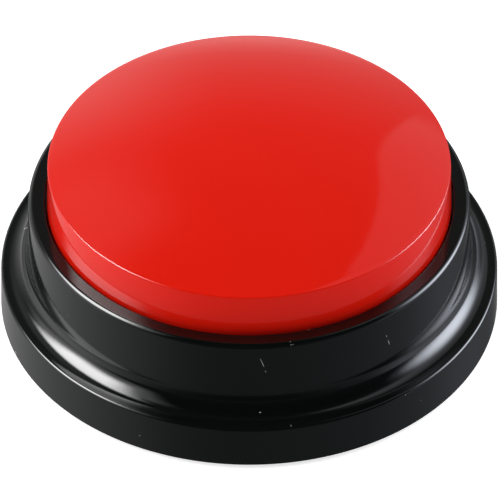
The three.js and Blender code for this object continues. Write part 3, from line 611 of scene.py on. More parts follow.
for turn in (45, 135, 225, 315):
    barb = bmesh.new()
    side = [
        (28.5, catch_z), (28.5, catch_z - 1.5), (28.8, catch_z - 1.5), (29.8, catch_z - 0.3),
        (29.8, catch_z),
    ]
    near = [barb.verts.new((x, -2.5, z)) for x, z in side]
    far = [barb.verts.new((x, 2.5, z)) for x, z in side]
    barb.faces.new(near)
    barb.faces.new(list(reversed(far)))
    for i in range(5):
        n = (i + 1) % 5
        barb.faces.new((near[n], near[i], far[i], far[n]))
    bmesh.ops.recalc_face_normals(barb, faces=barb.faces)
    bmesh.ops.rotate(
        barb, cent=(0, 0, 0), matrix=Matrix.Rotation(math.radians(turn), 3, "Z"), verts=barb.verts
    )
    barb_parts.append(barb)
join_or_cut(inside, gather(barb_parts), "UNION")


def taken_up(piece):
    """The mesh of a scene object as a bmesh in millimetres; the object is removed."""
    made = bmesh.new()
    made.from_mesh(piece.data)
    bmesh.ops.scale(made, vec=(1 / MM, 1 / MM, 1 / MM), verts=made.verts)
    spent = piece.data
    bpy.data.objects.remove(piece)
    bpy.data.meshes.remove(spent)
    return made


join_or_cut(cap_piece, taken_up(inside), "UNION")

red_gloss, tree, shader = new_finish("Glossy red cap", 0.07)
skin = placed(tree, moulded_skin, Flow_size=28.0, Peel_size=520.0)
dust = placed(tree, settled_dust, Spacing=120.0, Amount=0.018)
marks = placed(tree, hairlines, Density=0.35)
shade = mixed(tree, skin.outputs["Tone"], (0.72, 0.0102, 0.0034, 1), (0.775, 0.0124, 0.0044, 1))
shade = mixed(
    tree, maths(tree, "MULTIPLY", dust.outputs["Specks"], 0.45), shade, (0.85, 0.5, 0.46, 1)
)
tree.links.new(shade, shader.inputs["Base Color"])
rough = eased(tree, skin.outputs["Tone"], 0.035, 0.05)
rough = maths(tree, "ADD", rough, maths(tree, "MULTIPLY", marks.outputs["Lines"], 0.05))
tree.links.new(rough, shader.inputs["Roughness"])
bumped(tree, shader, skin.outputs["Height"], 0.03, 0.0006)
finish_piece(cap_piece, red_gloss, "button", ["button_cap"], 40)

# Rubber tip of the plunger. A soft black pad with a plug that is pushed up into the plunger's tube;
# it strikes the push switch. Moulded in rubber, so it is dull and slightly pebbled.


def swept(path, radius, sides=12):
    """A round bar along a path of points, with slightly domed ends."""
    made = bmesh.new()
    spots = [Vector(spot) for spot in path]
    frame_x = None
    rings = []
    for i, spot in enumerate(spots):
        ahead = spots[min(i + 1, len(spots) - 1)] - spots[max(i - 1, 0)]
        ahead.normalize()
        if frame_x is None:
            frame_x = ahead.orthogonal().normalized()
        frame_x = (frame_x - ahead * frame_x.dot(ahead)).normalized()
        frame_y = ahead.cross(frame_x)
        ring = []
        for k in range(sides):
            a = 2 * math.pi * k / sides
            ring.append(
                made.verts.new(spot + (frame_x * math.cos(a) + frame_y * math.sin(a)) * radius)
            )
        rings.append(ring)
    for low, high in zip(rings, rings[1:]):
        for k in range(sides):
            n = (k + 1) % sides
            made.faces.new((low[k], low[n], high[n], high[k]))
    for ring, inner, outer in ((rings[0], spots[1], spots[0]), (rings[-1], spots[-2], spots[-1])):
        crown = made.verts.new(outer + (outer - inner).normalized() * radius * 0.25)
        for k in range(sides):
            made.faces.new((ring[k], ring[(k + 1) % sides], crown))
    bmesh.ops.recalc_face_normals(made, faces=made.faces)
    return made


def placed_at(made, x=0.0, y=0.0, z=0.0, axis=None, degrees=0.0):
    """Turns a part about an axis through the origin, then moves it."""
    if axis:
        bmesh.ops.rotate(
            made,
            cent=(0, 0, 0),
            matrix=Matrix.Rotation(math.radians(degrees), 3, axis),
            verts=made.verts,
        )
    bmesh.ops.translate(made, vec=(x, y, z), verts=made.verts)
    return made


def span(name):
    """A CAD node's lowest and highest corners and its middle, in millimetres."""
    low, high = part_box(name)
    return low / MM, high / MM, (low + high) / (2 * MM)


# Pebbled skin: the spark-eroded grain of a matte mould, with slow patches of lighter tone.
pebbled_skin, pebble_in, pebble_out = node_group(
    "Pebbled skin",
    [("Grain size", "NodeSocketFloat", 2600.0), ("Patch size", "NodeSocketFloat", 90.0)],
    [("Height", "NodeSocketFloat"), ("Tone", "NodeSocketFloat")],
)
pebble_place = node(pebbled_skin, "ShaderNodeTexCoord")
grain = node(pebbled_skin, "ShaderNodeTexVoronoi", feature="SMOOTH_F1", inputs={"Smoothness": 0.6})
patch = node(pebbled_skin, "ShaderNodeTexNoise", inputs={"Detail": 4.0, "Roughness": 0.6})
for wave, size in ((grain, "Grain size"), (patch, "Patch size")):
    pebbled_skin.links.new(pebble_place.outputs["Object"], wave.inputs["Vector"])
    pebbled_skin.links.new(pebble_in.outputs[size], wave.inputs["Scale"])
pebbled_skin.links.new(grain.outputs["Distance"], pebble_out.inputs["Height"])
pebbled_skin.links.new(
    ramp(pebbled_skin, patch.outputs["Fac"], 0.3, 0.7), pebble_out.inputs["Tone"]
)


def toned(
    name, group, low, high, rough_low, rough_high, relief, metallic=0.0, depth=0.0002, **values
):
    """A finish whose colour and gloss drift with the group's tone; its height is the relief."""
    finish, tree, shader = new_finish(name, rough_low, metallic)
    effect = placed(tree, group, **values)
    shade = mixed(tree, effect.outputs["Tone"], (*low, 1), (*high, 1))
    tree.links.new(shade, shader.inputs["Base Color"])
    rough = eased(tree, effect.outputs["Tone"], rough_high - rough_low, rough_low)
    tree.links.new(rough, shader.inputs["Roughness"])
    bumped(tree, shader, effect.outputs["Height"], relief, depth)
    return finish


tip_low, tip_high, _ = span("plunger_tip")
tip_outline = [(0, tip_low.z), (1.2, tip_low.z)] + arc(2.3, tip_low.z + 0.8, 0.8, 270, 360, 8)
tip_outline += [(3.1, tip_low.z + 1.25), (2.95, tip_low.z + 1.4), (2.14, tip_low.z + 1.4)]
tip_outline += [(2.14, tip_high.z - 0.35), (1.85, tip_high.z), (0, tip_high.z)]
tip = as_object("rubber_tip", lathe(tip_outline, 48, closed=False))
rubber = toned(
    "Black rubber", pebbled_skin, (0.0032, 0.0032, 0.0034), (0.0065, 0.0065, 0.0068), 0.6, 0.8,
    0.25, Grain_size=3200.0,
)
finish_piece(tip, rubber, "button", ["plunger_tip"])

# Four return springs. Hard-drawn steel wire wound cold into coils with closed ends; each stands on
# the platform round its guide and bears up on a boss inside the cap, which it lifts 3.5 mm.

# Drawn metal: fine lines along the drawing or rolling direction and a slow change of gloss.
drawn_metal, drawn_in, drawn_out = node_group(
    "Drawn metal",
    [("Line size", "NodeSocketFloat", 1500.0), ("Stretch", "NodeSocketVector", (1.0, 1.0, 0.05))],
    [("Height", "NodeSocketFloat"), ("Tone", "NodeSocketFloat")],
)
drawn_place = node(drawn_metal, "ShaderNodeTexCoord")
drawn_lay = node(drawn_metal, "ShaderNodeVectorMath", operation="MULTIPLY")
drawn_metal.links.new(drawn_place.outputs["Object"], drawn_lay.inputs[0])
drawn_metal.links.new(drawn_in.outputs["Stretch"], drawn_lay.inputs[1])
lines = node(drawn_metal, "ShaderNodeTexNoise", inputs={"Detail": 2.0, "Roughness": 0.5})
drawn_metal.links.new(drawn_lay.outputs["Vector"], lines.inputs["Vector"])
drawn_metal.links.new(drawn_in.outputs["Line size"], lines.inputs["Scale"])
stain = node(drawn_metal, "ShaderNodeTexNoise", inputs={"Scale": 240.0, "Detail": 3.0})
drawn_metal.links.new(drawn_place.outputs["Object"], stain.inputs["Vector"])
drawn_metal.links.new(lines.outputs["Fac"], drawn_out.inputs["Height"])
drawn_tone = maths(
    drawn_metal,
    "ADD",
    maths(drawn_metal, "MULTIPLY", lines.outputs["Fac"], 0.4),
    maths(drawn_metal, "MULTIPLY", stain.outputs["Fac"], 0.6),
)
drawn_metal.links.new(ramp(drawn_metal, drawn_tone, 0.35, 0.65), drawn_out.inputs["Tone"])


def coil(low_radius, high_radius, length, turns, wire, steps):
    """Points of a coil about Z from its foot at 0, its first and last turns close."""
    spots = []
    closed = wire * 1.12
    rise = length - wire
    pitch = (rise - 2 * closed) / (turns - 2)
    for i in range(steps + 1):
        turn = turns * i / steps
        radius = low_radius + (high_radius - low_radius) * i / steps
        height = closed + (turn - 1) * pitch
        if turn < 1:
            height = turn * closed
        if turn > turns - 1:
            height = rise - (turns - turn) * closed
        a = 2 * math.pi * turn
        spots.append((radius * math.cos(a), radius * math.sin(a), height + wire / 2))
    return spots


spring_wire = 0.5
spring_mean = guide_outer + 0.3 + spring_wire / 2
spring_steel = toned(
    "Spring steel", drawn_metal, (0.42, 0.42, 0.43), (0.60, 0.60, 0.60), 0.18, 0.34, 0.08,
    metallic=1.0, depth=0.00005,
)
for i in range(4):
    x, y = on_circle(post_pitch, 90 * i)
    seat = platform_z + clearance
    wound = swept(
        coil(spring_mean, spring_mean, spring_height, 4.5, spring_wire, 180), spring_wire / 2, 14
    )
    spring = as_object(f"return_coil_{i + 1}", placed_at(wound, x, y, seat))
    finish_piece(spring, spring_steel, "housing", [f"return_spring_{i + 1}"], 60)
    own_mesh(spring)

# Circuit board. Glass-epoxy sheet with green solder mask over copper tracks, punched for two screws
# and two pegs; it is screwed up against bosses under the platform.


def round_rect(x_low, x_high, y_low, y_high, corner, count=6):
    """Outline of a rectangle with round corners, anticlockwise."""
    spots = []
    for cx, cy, start in (
        (x_high - corner, y_low + corner, 270),
        (x_high - corner, y_high - corner, 0),
        (x_low + corner, y_high - corner, 90),
        (x_low + corner, y_low + corner, 180),
    ):
        spots += arc(cx, cy, corner, start, start + 90, count)
    return spots


def slab(outline, low, high, edge=0.0):
    """A flat plate of an outline, its top and bottom edges broken by edge."""
    made = bmesh.new()
    below = [made.verts.new((x, y, low)) for x, y in outline]
    over = [made.verts.new((x, y, high)) for x, y in outline]
    count = len(outline)
    made.faces.new(list(reversed(below)))
    made.faces.new(over)
    for i in range(count):
        n = (i + 1) % count
        made.faces.new((below[i], below[n], over[n], over[i]))
    bmesh.ops.recalc_face_normals(made, faces=made.faces)
    if edge > 0:
        level = [e for e in made.edges if abs(e.verts[0].co.z - e.verts[1].co.z) < 1e-6]
        bmesh.ops.bevel(made, geom=level, offset=edge, segments=2, affect="EDGES", profile=0.5)
    return made


board_low, board_high, _ = span("circuit_board")
board = as_object(
    "printed_board",
    slab(
        round_rect(board_low.x, board_high.x, board_low.y, board_high.y, 1.5),
        board_low.z,
        board_high.z,
        0.06,
    ),
)
holes = []
for x in board_hole_x:
    for y in (board_screw_y, board_peg_y):
        holes.append(tube(x, y, 1.1, 0, board_low.z - 1, board_high.z + 1, 32))
join_or_cut(board, gather(holes), "DIFFERENCE")
board_green, tree, shader = new_finish("Green solder mask", 0.28)
mask_place = node(tree, "ShaderNodeTexCoord")
tracks = node(
    tree,
    "ShaderNodeTexBrick",
    offset=0.37,
    squash=0.55,
    squash_frequency=3,
    inputs={
        "Scale": 380.0, "Mortar Size": 0.035, "Mortar Smooth": 0.3, "Brick Width": 1.1,
        "Row Height": 0.36,
    },
)
tree.links.new(mask_place.outputs["Object"], tracks.inputs["Vector"])
track_gap = maths(tree, "SUBTRACT", 1.0, tracks.outputs["Fac"])
weave = node(tree, "ShaderNodeTexNoise", inputs={"Scale": 1800.0, "Detail": 2.0})
tree.links.new(mask_place.outputs["Object"], weave.inputs["Vector"])
tree.links.new(
    mixed(tree, track_gap, (0.006, 0.045, 0.018, 1), (0.012, 0.115, 0.045, 1)),
    shader.inputs["Base Color"],
)
tree.links.new(ramp(tree, weave.outputs["Fac"], -1.0, 3.0), shader.inputs["Roughness"])
bumped(
    tree,
    shader,
    maths(tree, "ADD", track_gap, maths(tree, "MULTIPLY", weave.outputs["Fac"], 0.2)),
    0.3,
    0.00006,
)
finish_piece(board, board_green, "housing", ["circuit_board"])

# Sound chip, capacitor, resistor and transistor. The chip is bonded under a blob of black epoxy.
# The others are small leaded parts, soldered through the board.

black_epoxy = toned(
    "Black epoxy", moulded_skin, (0.004, 0.004, 0.004), (0.009, 0.009, 0.009), 0.12, 0.3, 0.2,
    Flow_size=420.0, Peel_size=1600.0,
)
tinned = toned(
    "Tinned wire", drawn_metal, (0.55, 0.55, 0.54), (0.72, 0.72, 0.70), 0.25, 0.42, 0.1,
    metallic=1.0,
)


def two_finishes(piece, second, is_second):
    """Gives the faces that is_second picks a second finish; call it after finish_piece."""
    piece.data.materials.append(second)
    for face in piece.data.polygons:
        if is_second(face.center / MM):
            face.material_index = 1


blob_low, blob_high, blob_mid = span("sound_chip")
blob_made = lathe(
    [(0, blob_low.z), (3.9, blob_low.z)]
    + [
        (
            4.2 * math.cos(math.radians(t)) ** 0.7,
            blob_low.z + 0.12 + 1.38 * math.sin(math.radians(t)) ** 1.3,
        )
        for t in range(4, 84, 8)
    ]
    + [(0, blob_high.z)],
    48,
    closed=False,
)
for corner in blob_made.verts:
    a = math.atan2(corner.co.y, corner.co.x)
    swell = 1 - 0.045 * (1 + math.sin(3 * a + 0.7)) - 0.02 * (1 + math.sin(5 * a))
    corner.co.x *= swell
    corner.co.y *= swell
blob = as_object("sound_chip_blob", placed_at(blob_made, blob_mid.x, blob_mid.y))
finish_piece(blob, black_epoxy, "housing", ["sound_chip"])

can_low, can_high, can_mid = span("capacitor")
can_outline = [
    (0, 0), (1.3, 0), (1.5, 0.12), (1.75, 0.12), (1.9, 0.35), (1.9, 0.9), (1.78, 1.1),
    (1.78, 1.25), (1.9, 1.45), (1.9, 6.75), (1.8, 6.95), (1.55, 7.0), (1.5, 6.9), (0, 6.9),
]
can = as_object(
    "capacitor_can",
    placed_at(
        lathe(held(can_outline, closed=False), 40, closed=False),
        can_mid.x,
        can_low.y,
        can_mid.z,
        "X",
        -90,
    ),
)
can_sleeve, tree, shader = new_finish("Capacitor sleeve", 0.3)
can_place = node(tree, "ShaderNodeTexCoord")
can_parts = node(tree, "ShaderNodeSeparateXYZ")
tree.links.new(can_place.outputs["Object"], can_parts.inputs[0])
stripe = ramp(tree, can_parts.outputs["X"], (can_mid.x + 1.25) * MM, (can_mid.x + 1.3) * MM)
sleeve = placed(tree, moulded_skin, Flow_size=300.0, Peel_size=2200.0)
dark = mixed(tree, sleeve.outputs["Tone"], (0.005, 0.006, 0.012, 1), (0.010, 0.011, 0.020, 1))
tree.links.new(mixed(tree, stripe, dark, (0.34, 0.34, 0.33, 1)), shader.inputs["Base Color"])
bumped(tree, shader, sleeve.outputs["Height"], 0.1, 0.0001)
finish_piece(can, can_sleeve, "housing", ["capacitor"])
two_finishes(can, tinned, lambda c: c.y > can_high.y - 0.12)

res_low, _, res_mid = span("resistor")
res_z = res_low.z + 0.86
res_outline = [
    (0, -1.9), (0.35, -1.9), (0.7, -1.82), (0.85, -1.6), (0.85, -1.2), (0.7, -0.95), (0.7, 0.95),
    (0.85, 1.2), (0.85, 1.6), (0.7, 1.82), (0.35, 1.9), (0, 1.9),
]
res_made = placed_at(
    lathe(held(res_outline, closed=False), 32, closed=False), res_mid.x, res_mid.y, res_z, "X", 90
)
res_parts = [res_made]
for end in (-1, 1):
    bend = [(res_mid.x, res_mid.y + end * 1.7, res_z), (res_mid.x, res_mid.y + end * 2.8, res_z)]
    bend += [
        (res_mid.x, res_mid.y + end * (2.8 + 0.4 * math.sin(t)), res_z - 0.4 * (1 - math.cos(t)))
        for t in (0.4, 0.8, 1.2, 1.57)
    ]
    bend += [(res_mid.x, res_mid.y + end * 3.2, res_low.z)]
    res_parts.append(swept(bend, 0.24, 12))
res = as_object("resistor_body", gather(res_parts))
res_finish, tree, shader = new_finish("Resistor lacquer", 0.35)
res_place = node(tree, "ShaderNodeTexCoord")
res_xyz = node(tree, "ShaderNodeSeparateXYZ")
tree.links.new(res_place.outputs["Object"], res_xyz.inputs[0])
lacquer = placed(tree, moulded_skin, Flow_size=500.0, Peel_size=2500.0)
shade = mixed(tree, lacquer.outputs["Tone"], (0.45, 0.30, 0.16, 1), (0.55, 0.38, 0.21, 1))
for place, hue in (
    (-1.4, (0.10, 0.03, 0.01, 1)),
    (-0.6, (0.01, 0.01, 0.01, 1)),
    (0.0, (0.50, 0.03, 0.01, 1)),
    (1.4, (0.45, 0.30, 0.06, 1)),
):
    off = maths(
        tree,
        "ABSOLUTE",
        maths(tree, "SUBTRACT", res_xyz.outputs["Y"], (res_mid.y + place) * MM),
        0.0,
    )
    shade = mixed(tree, maths(tree, "LESS_THAN", off, 0.00016), shade, hue)
tree.links.new(shade, shader.inputs["Base Color"])
bumped(tree, shader, lacquer.outputs["Height"], 0.1, 0.0001)
finish_piece(res, res_finish, "housing", ["resistor"])
two_finishes(res, tinned, lambda c: abs(c.y - res_mid.y) > 1.95)

tran_low, tran_high, tran_mid = span("transistor")
tran_z = tran_low.z + 2.1
tran_shape = arc(0, 0, 2.1, 145, 395, 24)
tran_made = placed_at(slab(tran_shape, 0, 3.6, 0.12), axis="X", degrees=90)
placed_at(tran_made, axis="Y", degrees=180)
placed_at(tran_made, tran_mid.x, tran_low.y + 3.6, tran_z)
tran_top = max(corner.co.z for corner in tran_made.verts)
placed_at(
    tran_made,
    0,
    tran_low.y - min(corner.co.y for corner in tran_made.verts),
    tran_high.z - tran_top,
)
tran = as_object("transistor_case", tran_made)
finish_piece(tran, black_epoxy, "housing", ["transistor"])

# Push switch. A 6 mm tact switch: black moulded case, a folded steel cover with four staked
# corners, four legs, and a round stem that clicks down 0.25 mm.

case_low, case_high, _ = span("push_switch_case")
case_parts = [slab(round_rect(-3, 3, -3, 3, 0.35, 3), case_low.z, case_high.z - 0.35, 0.1)]
for x in (-2.25, 2.25):
    for y in (-2.25, 2.25):
        case_parts.append(tube(x, y, 0.42, 0, case_high.z - 0.6, case_high.z, 20, 0.12))
case = as_object("tact_case", gather(case_parts))
join_or_cut(case, tube(0, 0, 1.8, 0, case_low.z + 2.2, case_high.z + 1, 40), "DIFFERENCE")
switch_black = toned(
    "Black switch case", pebbled_skin, (0.010, 0.010, 0.011), (0.018, 0.018, 0.019), 0.35, 0.5, 0.15
)
finish_piece(case, switch_black, "housing", ["push_switch_case"])
metal_parts = [
    slab(round_rect(-2.9, 2.9, -2.9, 2.9, 0.3, 3), case_high.z - 0.35, case_high.z - 0.1, 0.05)
]
for end in (-1, 1):
    for x in (-1, 1):
        leg = [
            (x * 2.85, end * 2.25, case_low.z + 1.0),
            (x * 3.2, end * 2.25, case_low.z + 1.0),
            (x * 3.55, end * 2.25, case_low.z + 0.85),
            (x * 3.68, end * 2.25, case_low.z + 0.5),
            (x * 3.7, end * 2.25, case_low.z),
        ]
        metal_parts.append(swept(leg, 0.24, 8))
plate = as_object("tact_cover", gather(metal_parts))
join_or_cut(plate, tube(0, 0, 2.0, 0, case_high.z - 1, case_high.z + 1, 40), "DIFFERENCE")
zinc_steel = toned(
    "Zinc-plated steel", drawn_metal, (0.46, 0.47, 0.48), (0.62, 0.63, 0.63), 0.28, 0.45, 0.12,
    metallic=1.0, Stretch=(1.0, 0.2, 1.0),
)
finish_piece(plate, zinc_steel, "housing", ["push_switch_case"])
stem_low, stem_high, _ = span("push_switch_stem")
stem_outline = (
    [(0, stem_low.z), (1.7, stem_low.z), (1.7, stem_high.z - 1.2)]
    + arc(1.4, stem_high.z - 0.2, 0.2, 0, 90, 4)
    + [(0, stem_high.z)]
)
stem = as_object("tact_stem", lathe(held(stem_outline, closed=False), 40, closed=False))
finish_piece(stem, black_epoxy, "switch_stem", ["push_switch_stem"])

# Loudspeaker. A 27 mm driver that faces down through the grille: pressed steel basket with
# windows, black paper cone with a dome, card gasket, ferrite magnet between steel plates, and a
# terminal strip. Three screws with wide heads clamp its rim.

horn_low, horn_high, horn_mid = span("speaker_basket")
gasket_low, gasket_high, _ = span("speaker_gasket")
speaker_y = horn_mid.y
low = horn_low.z
top = horn_high.z
basket_outline = [
    (13.5, low), (13.5, low + 0.6), (12.3, low + 0.6), (12.0, low + 0.75), (10.2, top - 0.15),
    (9.9, top), (4, top), (4, top - 0.6), (9.6, top - 0.6), (11.2, low + 0.2), (11.45, low),
]
basket = as_object("speaker_frame", placed_at(lathe(held(basket_outline), 72), 0, speaker_y))
windows = [bar((9.6, -2.2, low + 0.9), (13.2, 2.2, top - 0.7), 0.3, 60 * i + 30) for i in range(6)]
join_or_cut(basket, placed_at(gather(windows), 0, speaker_y), "DIFFERENCE")
speaker_steel = toned(
    "Speaker steel", drawn_metal, (0.30, 0.31, 0.32), (0.44, 0.45, 0.46), 0.3, 0.5, 0.15,
    metallic=1.0,
)
finish_piece(basket, speaker_steel, "housing", ["speaker_basket"])

low = span("speaker_cone")[0].z - 0.1
cone_outline = [
    (0, low + 1.62), (0.9, low + 1.55), (1.8, low + 1.3), (2.4, low + 1.1), (2.9, low + 1.35),
    (3.4, low + 1.9), (9.5, low + 0.5),
]
cone_outline += [
    (10.1 + 0.5 * math.cos(math.radians(t)), low + 0.3 + 0.24 * math.sin(math.radians(t)))
    for t in (200, 235, 270, 305, 340)
]
cone_outline += [
    (11.15, low + 0.12), (11.15, low + 0.36), (10.7, low + 0.5), (9.6, low + 0.9),
    (3.6, low + 2.3), (3.6, low + 3.2), (3.3, low + 3.2), (3.3, low + 2.3), (0, low + 2.02),
]
cone = as_object(
    "speaker_paper_cone", placed_at(lathe(cone_outline, 72, closed=False), 0, speaker_y)
)
cone_paper = toned(
    "Black cone paper", pebbled_skin, (0.010, 0.010, 0.011), (0.024, 0.024, 0.025), 0.8, 0.95,
    0.6, Grain_size=1700.0, Patch_size=260.0,
)
finish_piece(cone, cone_paper, "housing", ["speaker_cone"], 50)

gasket = as_object(
    "speaker_ring_gasket",
    placed_at(
        lathe(
            [
                (11.3, gasket_low.z),
                (13.5, gasket_low.z),
                (13.5, gasket_high.z),
                (11.3, gasket_high.z),
            ],
            72,
        ),
        0,
        speaker_y,
    ),
)
card = toned(
    "Gasket card", pebbled_skin, (0.20, 0.16, 0.10), (0.30, 0.24, 0.16), 0.85, 0.95, 0.5,
    Grain_size=1500.0, Patch_size=400.0,
)
finish_piece(gasket, card, "housing", ["speaker_gasket"])

mag_low, mag_high, _ = span("speaker_magnet")
core = as_object(
    "speaker_magnet_ring",
    placed_at(
        lathe(
            held(
                [
                    (0, mag_low.z + 0.8), (7.85, mag_low.z + 0.8), (8, mag_low.z + 0.95),
                    (8, mag_high.z - 0.95), (7.85, mag_high.z - 0.8), (0, mag_high.z - 0.8),
                ],
                closed=False,
            ),
            64,
            closed=False,
        ),
        0,
        speaker_y,
    ),
)
ferrite = toned(
    "Ferrite", pebbled_skin, (0.022, 0.022, 0.024), (0.045, 0.045, 0.048), 0.55, 0.7, 0.3,
    Grain_size=1900.0,
)
finish_piece(core, ferrite, "housing", ["speaker_magnet"])
yoke_parts = [
    tube(0, 0, 7.4, 0, mag_low.z, mag_low.z + 0.8, 64, 0.12),
    tube(0, 0, 7.4, 0, mag_high.z - 0.8, mag_high.z, 64, 0.15),
]
yoke = as_object("speaker_yoke", placed_at(gather(yoke_parts), 0, speaker_y))
join_or_cut(
    yoke,
    placed_at(tube(0, 0, 0.9, 0, mag_high.z - 0.4, mag_high.z + 1, 24), 0, speaker_y),
    "DIFFERENCE",
)
finish_piece(yoke, speaker_steel, "housing", ["speaker_magnet"])

strip_low, strip_high, strip_mid = span("speaker_terminals")
strip_made = slab(
    round_rect(strip_low.x, strip_high.x, strip_low.y, strip_high.y, 0.4, 3),
    strip_low.z,
    strip_low.z + 0.85,
    0.08,
)
strip = as_object("speaker_terminal_strip", strip_made)
strip_card = toned(
    "Terminal board", pebbled_skin, (0.16, 0.10, 0.045), (0.24, 0.16, 0.08), 0.5, 0.65, 0.25
)
finish_piece(strip, strip_card, "housing", ["speaker_terminals"])
solder_parts = []
for y in (strip_mid.y - 2, strip_mid.y + 2):
    solder_parts.append(
        placed_at(
            lathe(
                [
                    (0, strip_low.z + 0.8), (0.85, strip_low.z + 0.85), (0.6, strip_low.z + 1.02),
                    (0.42, strip_high.z), (0, strip_high.z),
                ],
                24,
                closed=False,
            ),
            strip_mid.x,
            y,
        )
    )
solder = as_object("speaker_solder", gather(solder_parts))
finish_piece(solder, tinned, "housing", ["speaker_terminals"])

# Power switch. A small slide switch: folded steel can with a slotted face, three pins, and a black
# ribbed knob that slides 2 mm along its slot in the bottom cover.

slide_low, slide_high, slide_mid = span("power_switch_case")
case_top = slide_low.z + 3.4
slide = as_object(
    "slide_switch_case",
    bar((slide_low.x, slide_low.y, slide_low.z), (slide_high.x, slide_high.y, case_top), 0.22),
)
knob_low, knob_high, knob_mid = span("power_switch_knob")
window = bar(
    (knob_low.x - 0.1, slide_mid.y - 2.6, slide_low.z - 1),
    (knob_high.x + 0.1, slide_mid.y + 2.6, slide_low.z + 1.2),
)
crimps = [
    bar(
        (slide_low.x - 0.1, slide_mid.y + y - 0.5, case_top - 0.9),
        (slide_high.x + 0.1, slide_mid.y + y + 0.5, case_top - 0.75),
        0,
    )
    for y in (-3.0, 3.0)
]
join_or_cut(slide, gather([window] + crimps), "DIFFERENCE")
finish_piece(slide, zinc_steel, "housing", ["power_switch_case"])
pins = as_object(
    "slide_switch_pins",
    gather(
        [
            bar(
                (slide_mid.x - 0.3, slide_mid.y + y - 0.4, case_top - 0.2),
                (slide_mid.x + 0.3, slide_mid.y + y + 0.4, slide_high.z),
                0.08,
            )
            for y in (-2.5, 0, 2.5)
        ]
    ),
)
finish_piece(pins, tinned, "housing", ["power_switch_case"])
knob = as_object("slide_switch_knob", bar(knob_low, knob_high, 0.18))
ridges = [
    bar(
        (knob_low.x - 1, knob_mid.y + y - 0.17, knob_low.z - 1),
        (knob_high.x + 1, knob_mid.y + y + 0.17, knob_low.z + 0.3),
        0.05,
    )
    for y in (-0.8, 0, 0.8)
]
join_or_cut(knob, gather(ridges), "DIFFERENCE")
knob_plastic = toned(
    "Black knob", pebbled_skin, (0.008, 0.008, 0.009), (0.014, 0.014, 0.015), 0.3, 0.45, 0.12
)
finish_piece(knob, knob_plastic, "power_knob", ["power_switch_knob"])

# Bottom cover. One moulding in matte black ABS that closes the housing from below: a disc with a
# spigot, the battery bay, the speaker's grille and seat, screw bosses, foot recesses and the slot
# for the power switch. Three screws hold it.

cover_low, cover_high, _ = span("bottom_cover")
cover_top = cover_low.z + 2
bay_low = Vector((-24.4, -2.0, 0))
bay_high = Vector((24.4, 20.0, 0))
bay_top = cover_high.z
bay_roof = bay_top - 1.2
door_thick = 1.45
ledge_z = span("battery_door")[0].z + door_thick + clearance
lug_y = 24.6
disc = held(
    [
        (0, cover_low.z), (42.2, cover_low.z), (42.6, cover_low.z + 0.4), (42.6, cover_top),
        (41.8, cover_top), (41.8, cover_top + 2.0), (41.6, cover_top + 2.2),
        (40.6, cover_top + 2.2), (40.6, cover_top), (0, cover_top),
    ],
    closed=False,
)
cover = as_object("bottom_cover_plate", lathe(disc, 160, closed=False))
grown = [
    slab(
        round_rect(bay_low.x - 1.2, bay_high.x + 1.2, bay_low.y - 1.2, bay_high.y + 1.2, 1.5),
        cover_top - 0.5,
        bay_top,
        0.3,
    ),
    placed_at(tube(0, 0, 15, 13.7, cover_top - 0.5, cover_top + 1.1, 72, 0.12), 0, speaker_y),
    tube(0, lug_y, 5.2, 0, cover_top - 0.5, cover_top + 1.2, 40, 0.15),
    tube(0, lug_y, 3, 0, cover_top - 0.5, cover_top + 4, 32, 0.15),
]
speaker_bosses = [on_circle(15.6, turn) for turn in (25, 155, 270)]
for x, y in speaker_bosses:
    grown.append(tube(x, speaker_y + y, 1.9, 0, cover_top - 0.5, gasket_low.z + 0.74, 28, 0.1))
screw_places = [on_circle(cover_screw_circle, turn) for turn in cover_screw_turns]
for x, y in screw_places:
    grown.append(tube(x, y, 4.2, 0, cover_top - 0.5, cover_top + 2.2, 36, 0.2))
join_or_cut(cover, gather(grown), "UNION")

opened = [bar((bay_low.x, bay_low.y, cover_low.z - 1), (bay_high.x, bay_high.y, bay_roof), 0.0)]
for x, y in speaker_bosses:
    opened.append(tube(x, speaker_y + y, 0.75, 0, cover_top - 0.8, cover_top + 3, 16))
for x, y in screw_places:
    opened.append(tube(x, y, 1.4, 0, cover_low.z + 1, cover_top + 4, 28))
    opened.append(tube(x, y, 2.9, 0, cover_low.z - 1, cover_low.z + 1.9, 40))
opened.append(tube(0, lug_y, 1.55, 0, cover_low.z, ledge_z + 3.2, 28))
for side in (-1, 1):
    for row in (3.5, 14.5):
        x = side * 24.15
        opened.append(
            bar((x - 0.35, row - 1.4, bay_roof - 0.2), (x + 0.35, row + 1.4, bay_top + 1))
        )
join_or_cut(cover, gather(opened), "DIFFERENCE")

door_recess = as_object(
    "door_recess", slab(round_rect(-25.4, 25.4, -3.0, 21.0, 1.2), cover_low.z - 1, ledge_z)
)
join_or_cut(
    door_recess,
    gather(
        [
            tube(0, lug_y, 4.2, 0, cover_low.z - 1, ledge_z, 48),
            bar((-4.2, 18.8, cover_low.z - 1), (4.2, lug_y, ledge_z)),
        ]
    ),
    "UNION",
)
join_or_cut(cover, taken_up(door_recess), "DIFFERENCE")

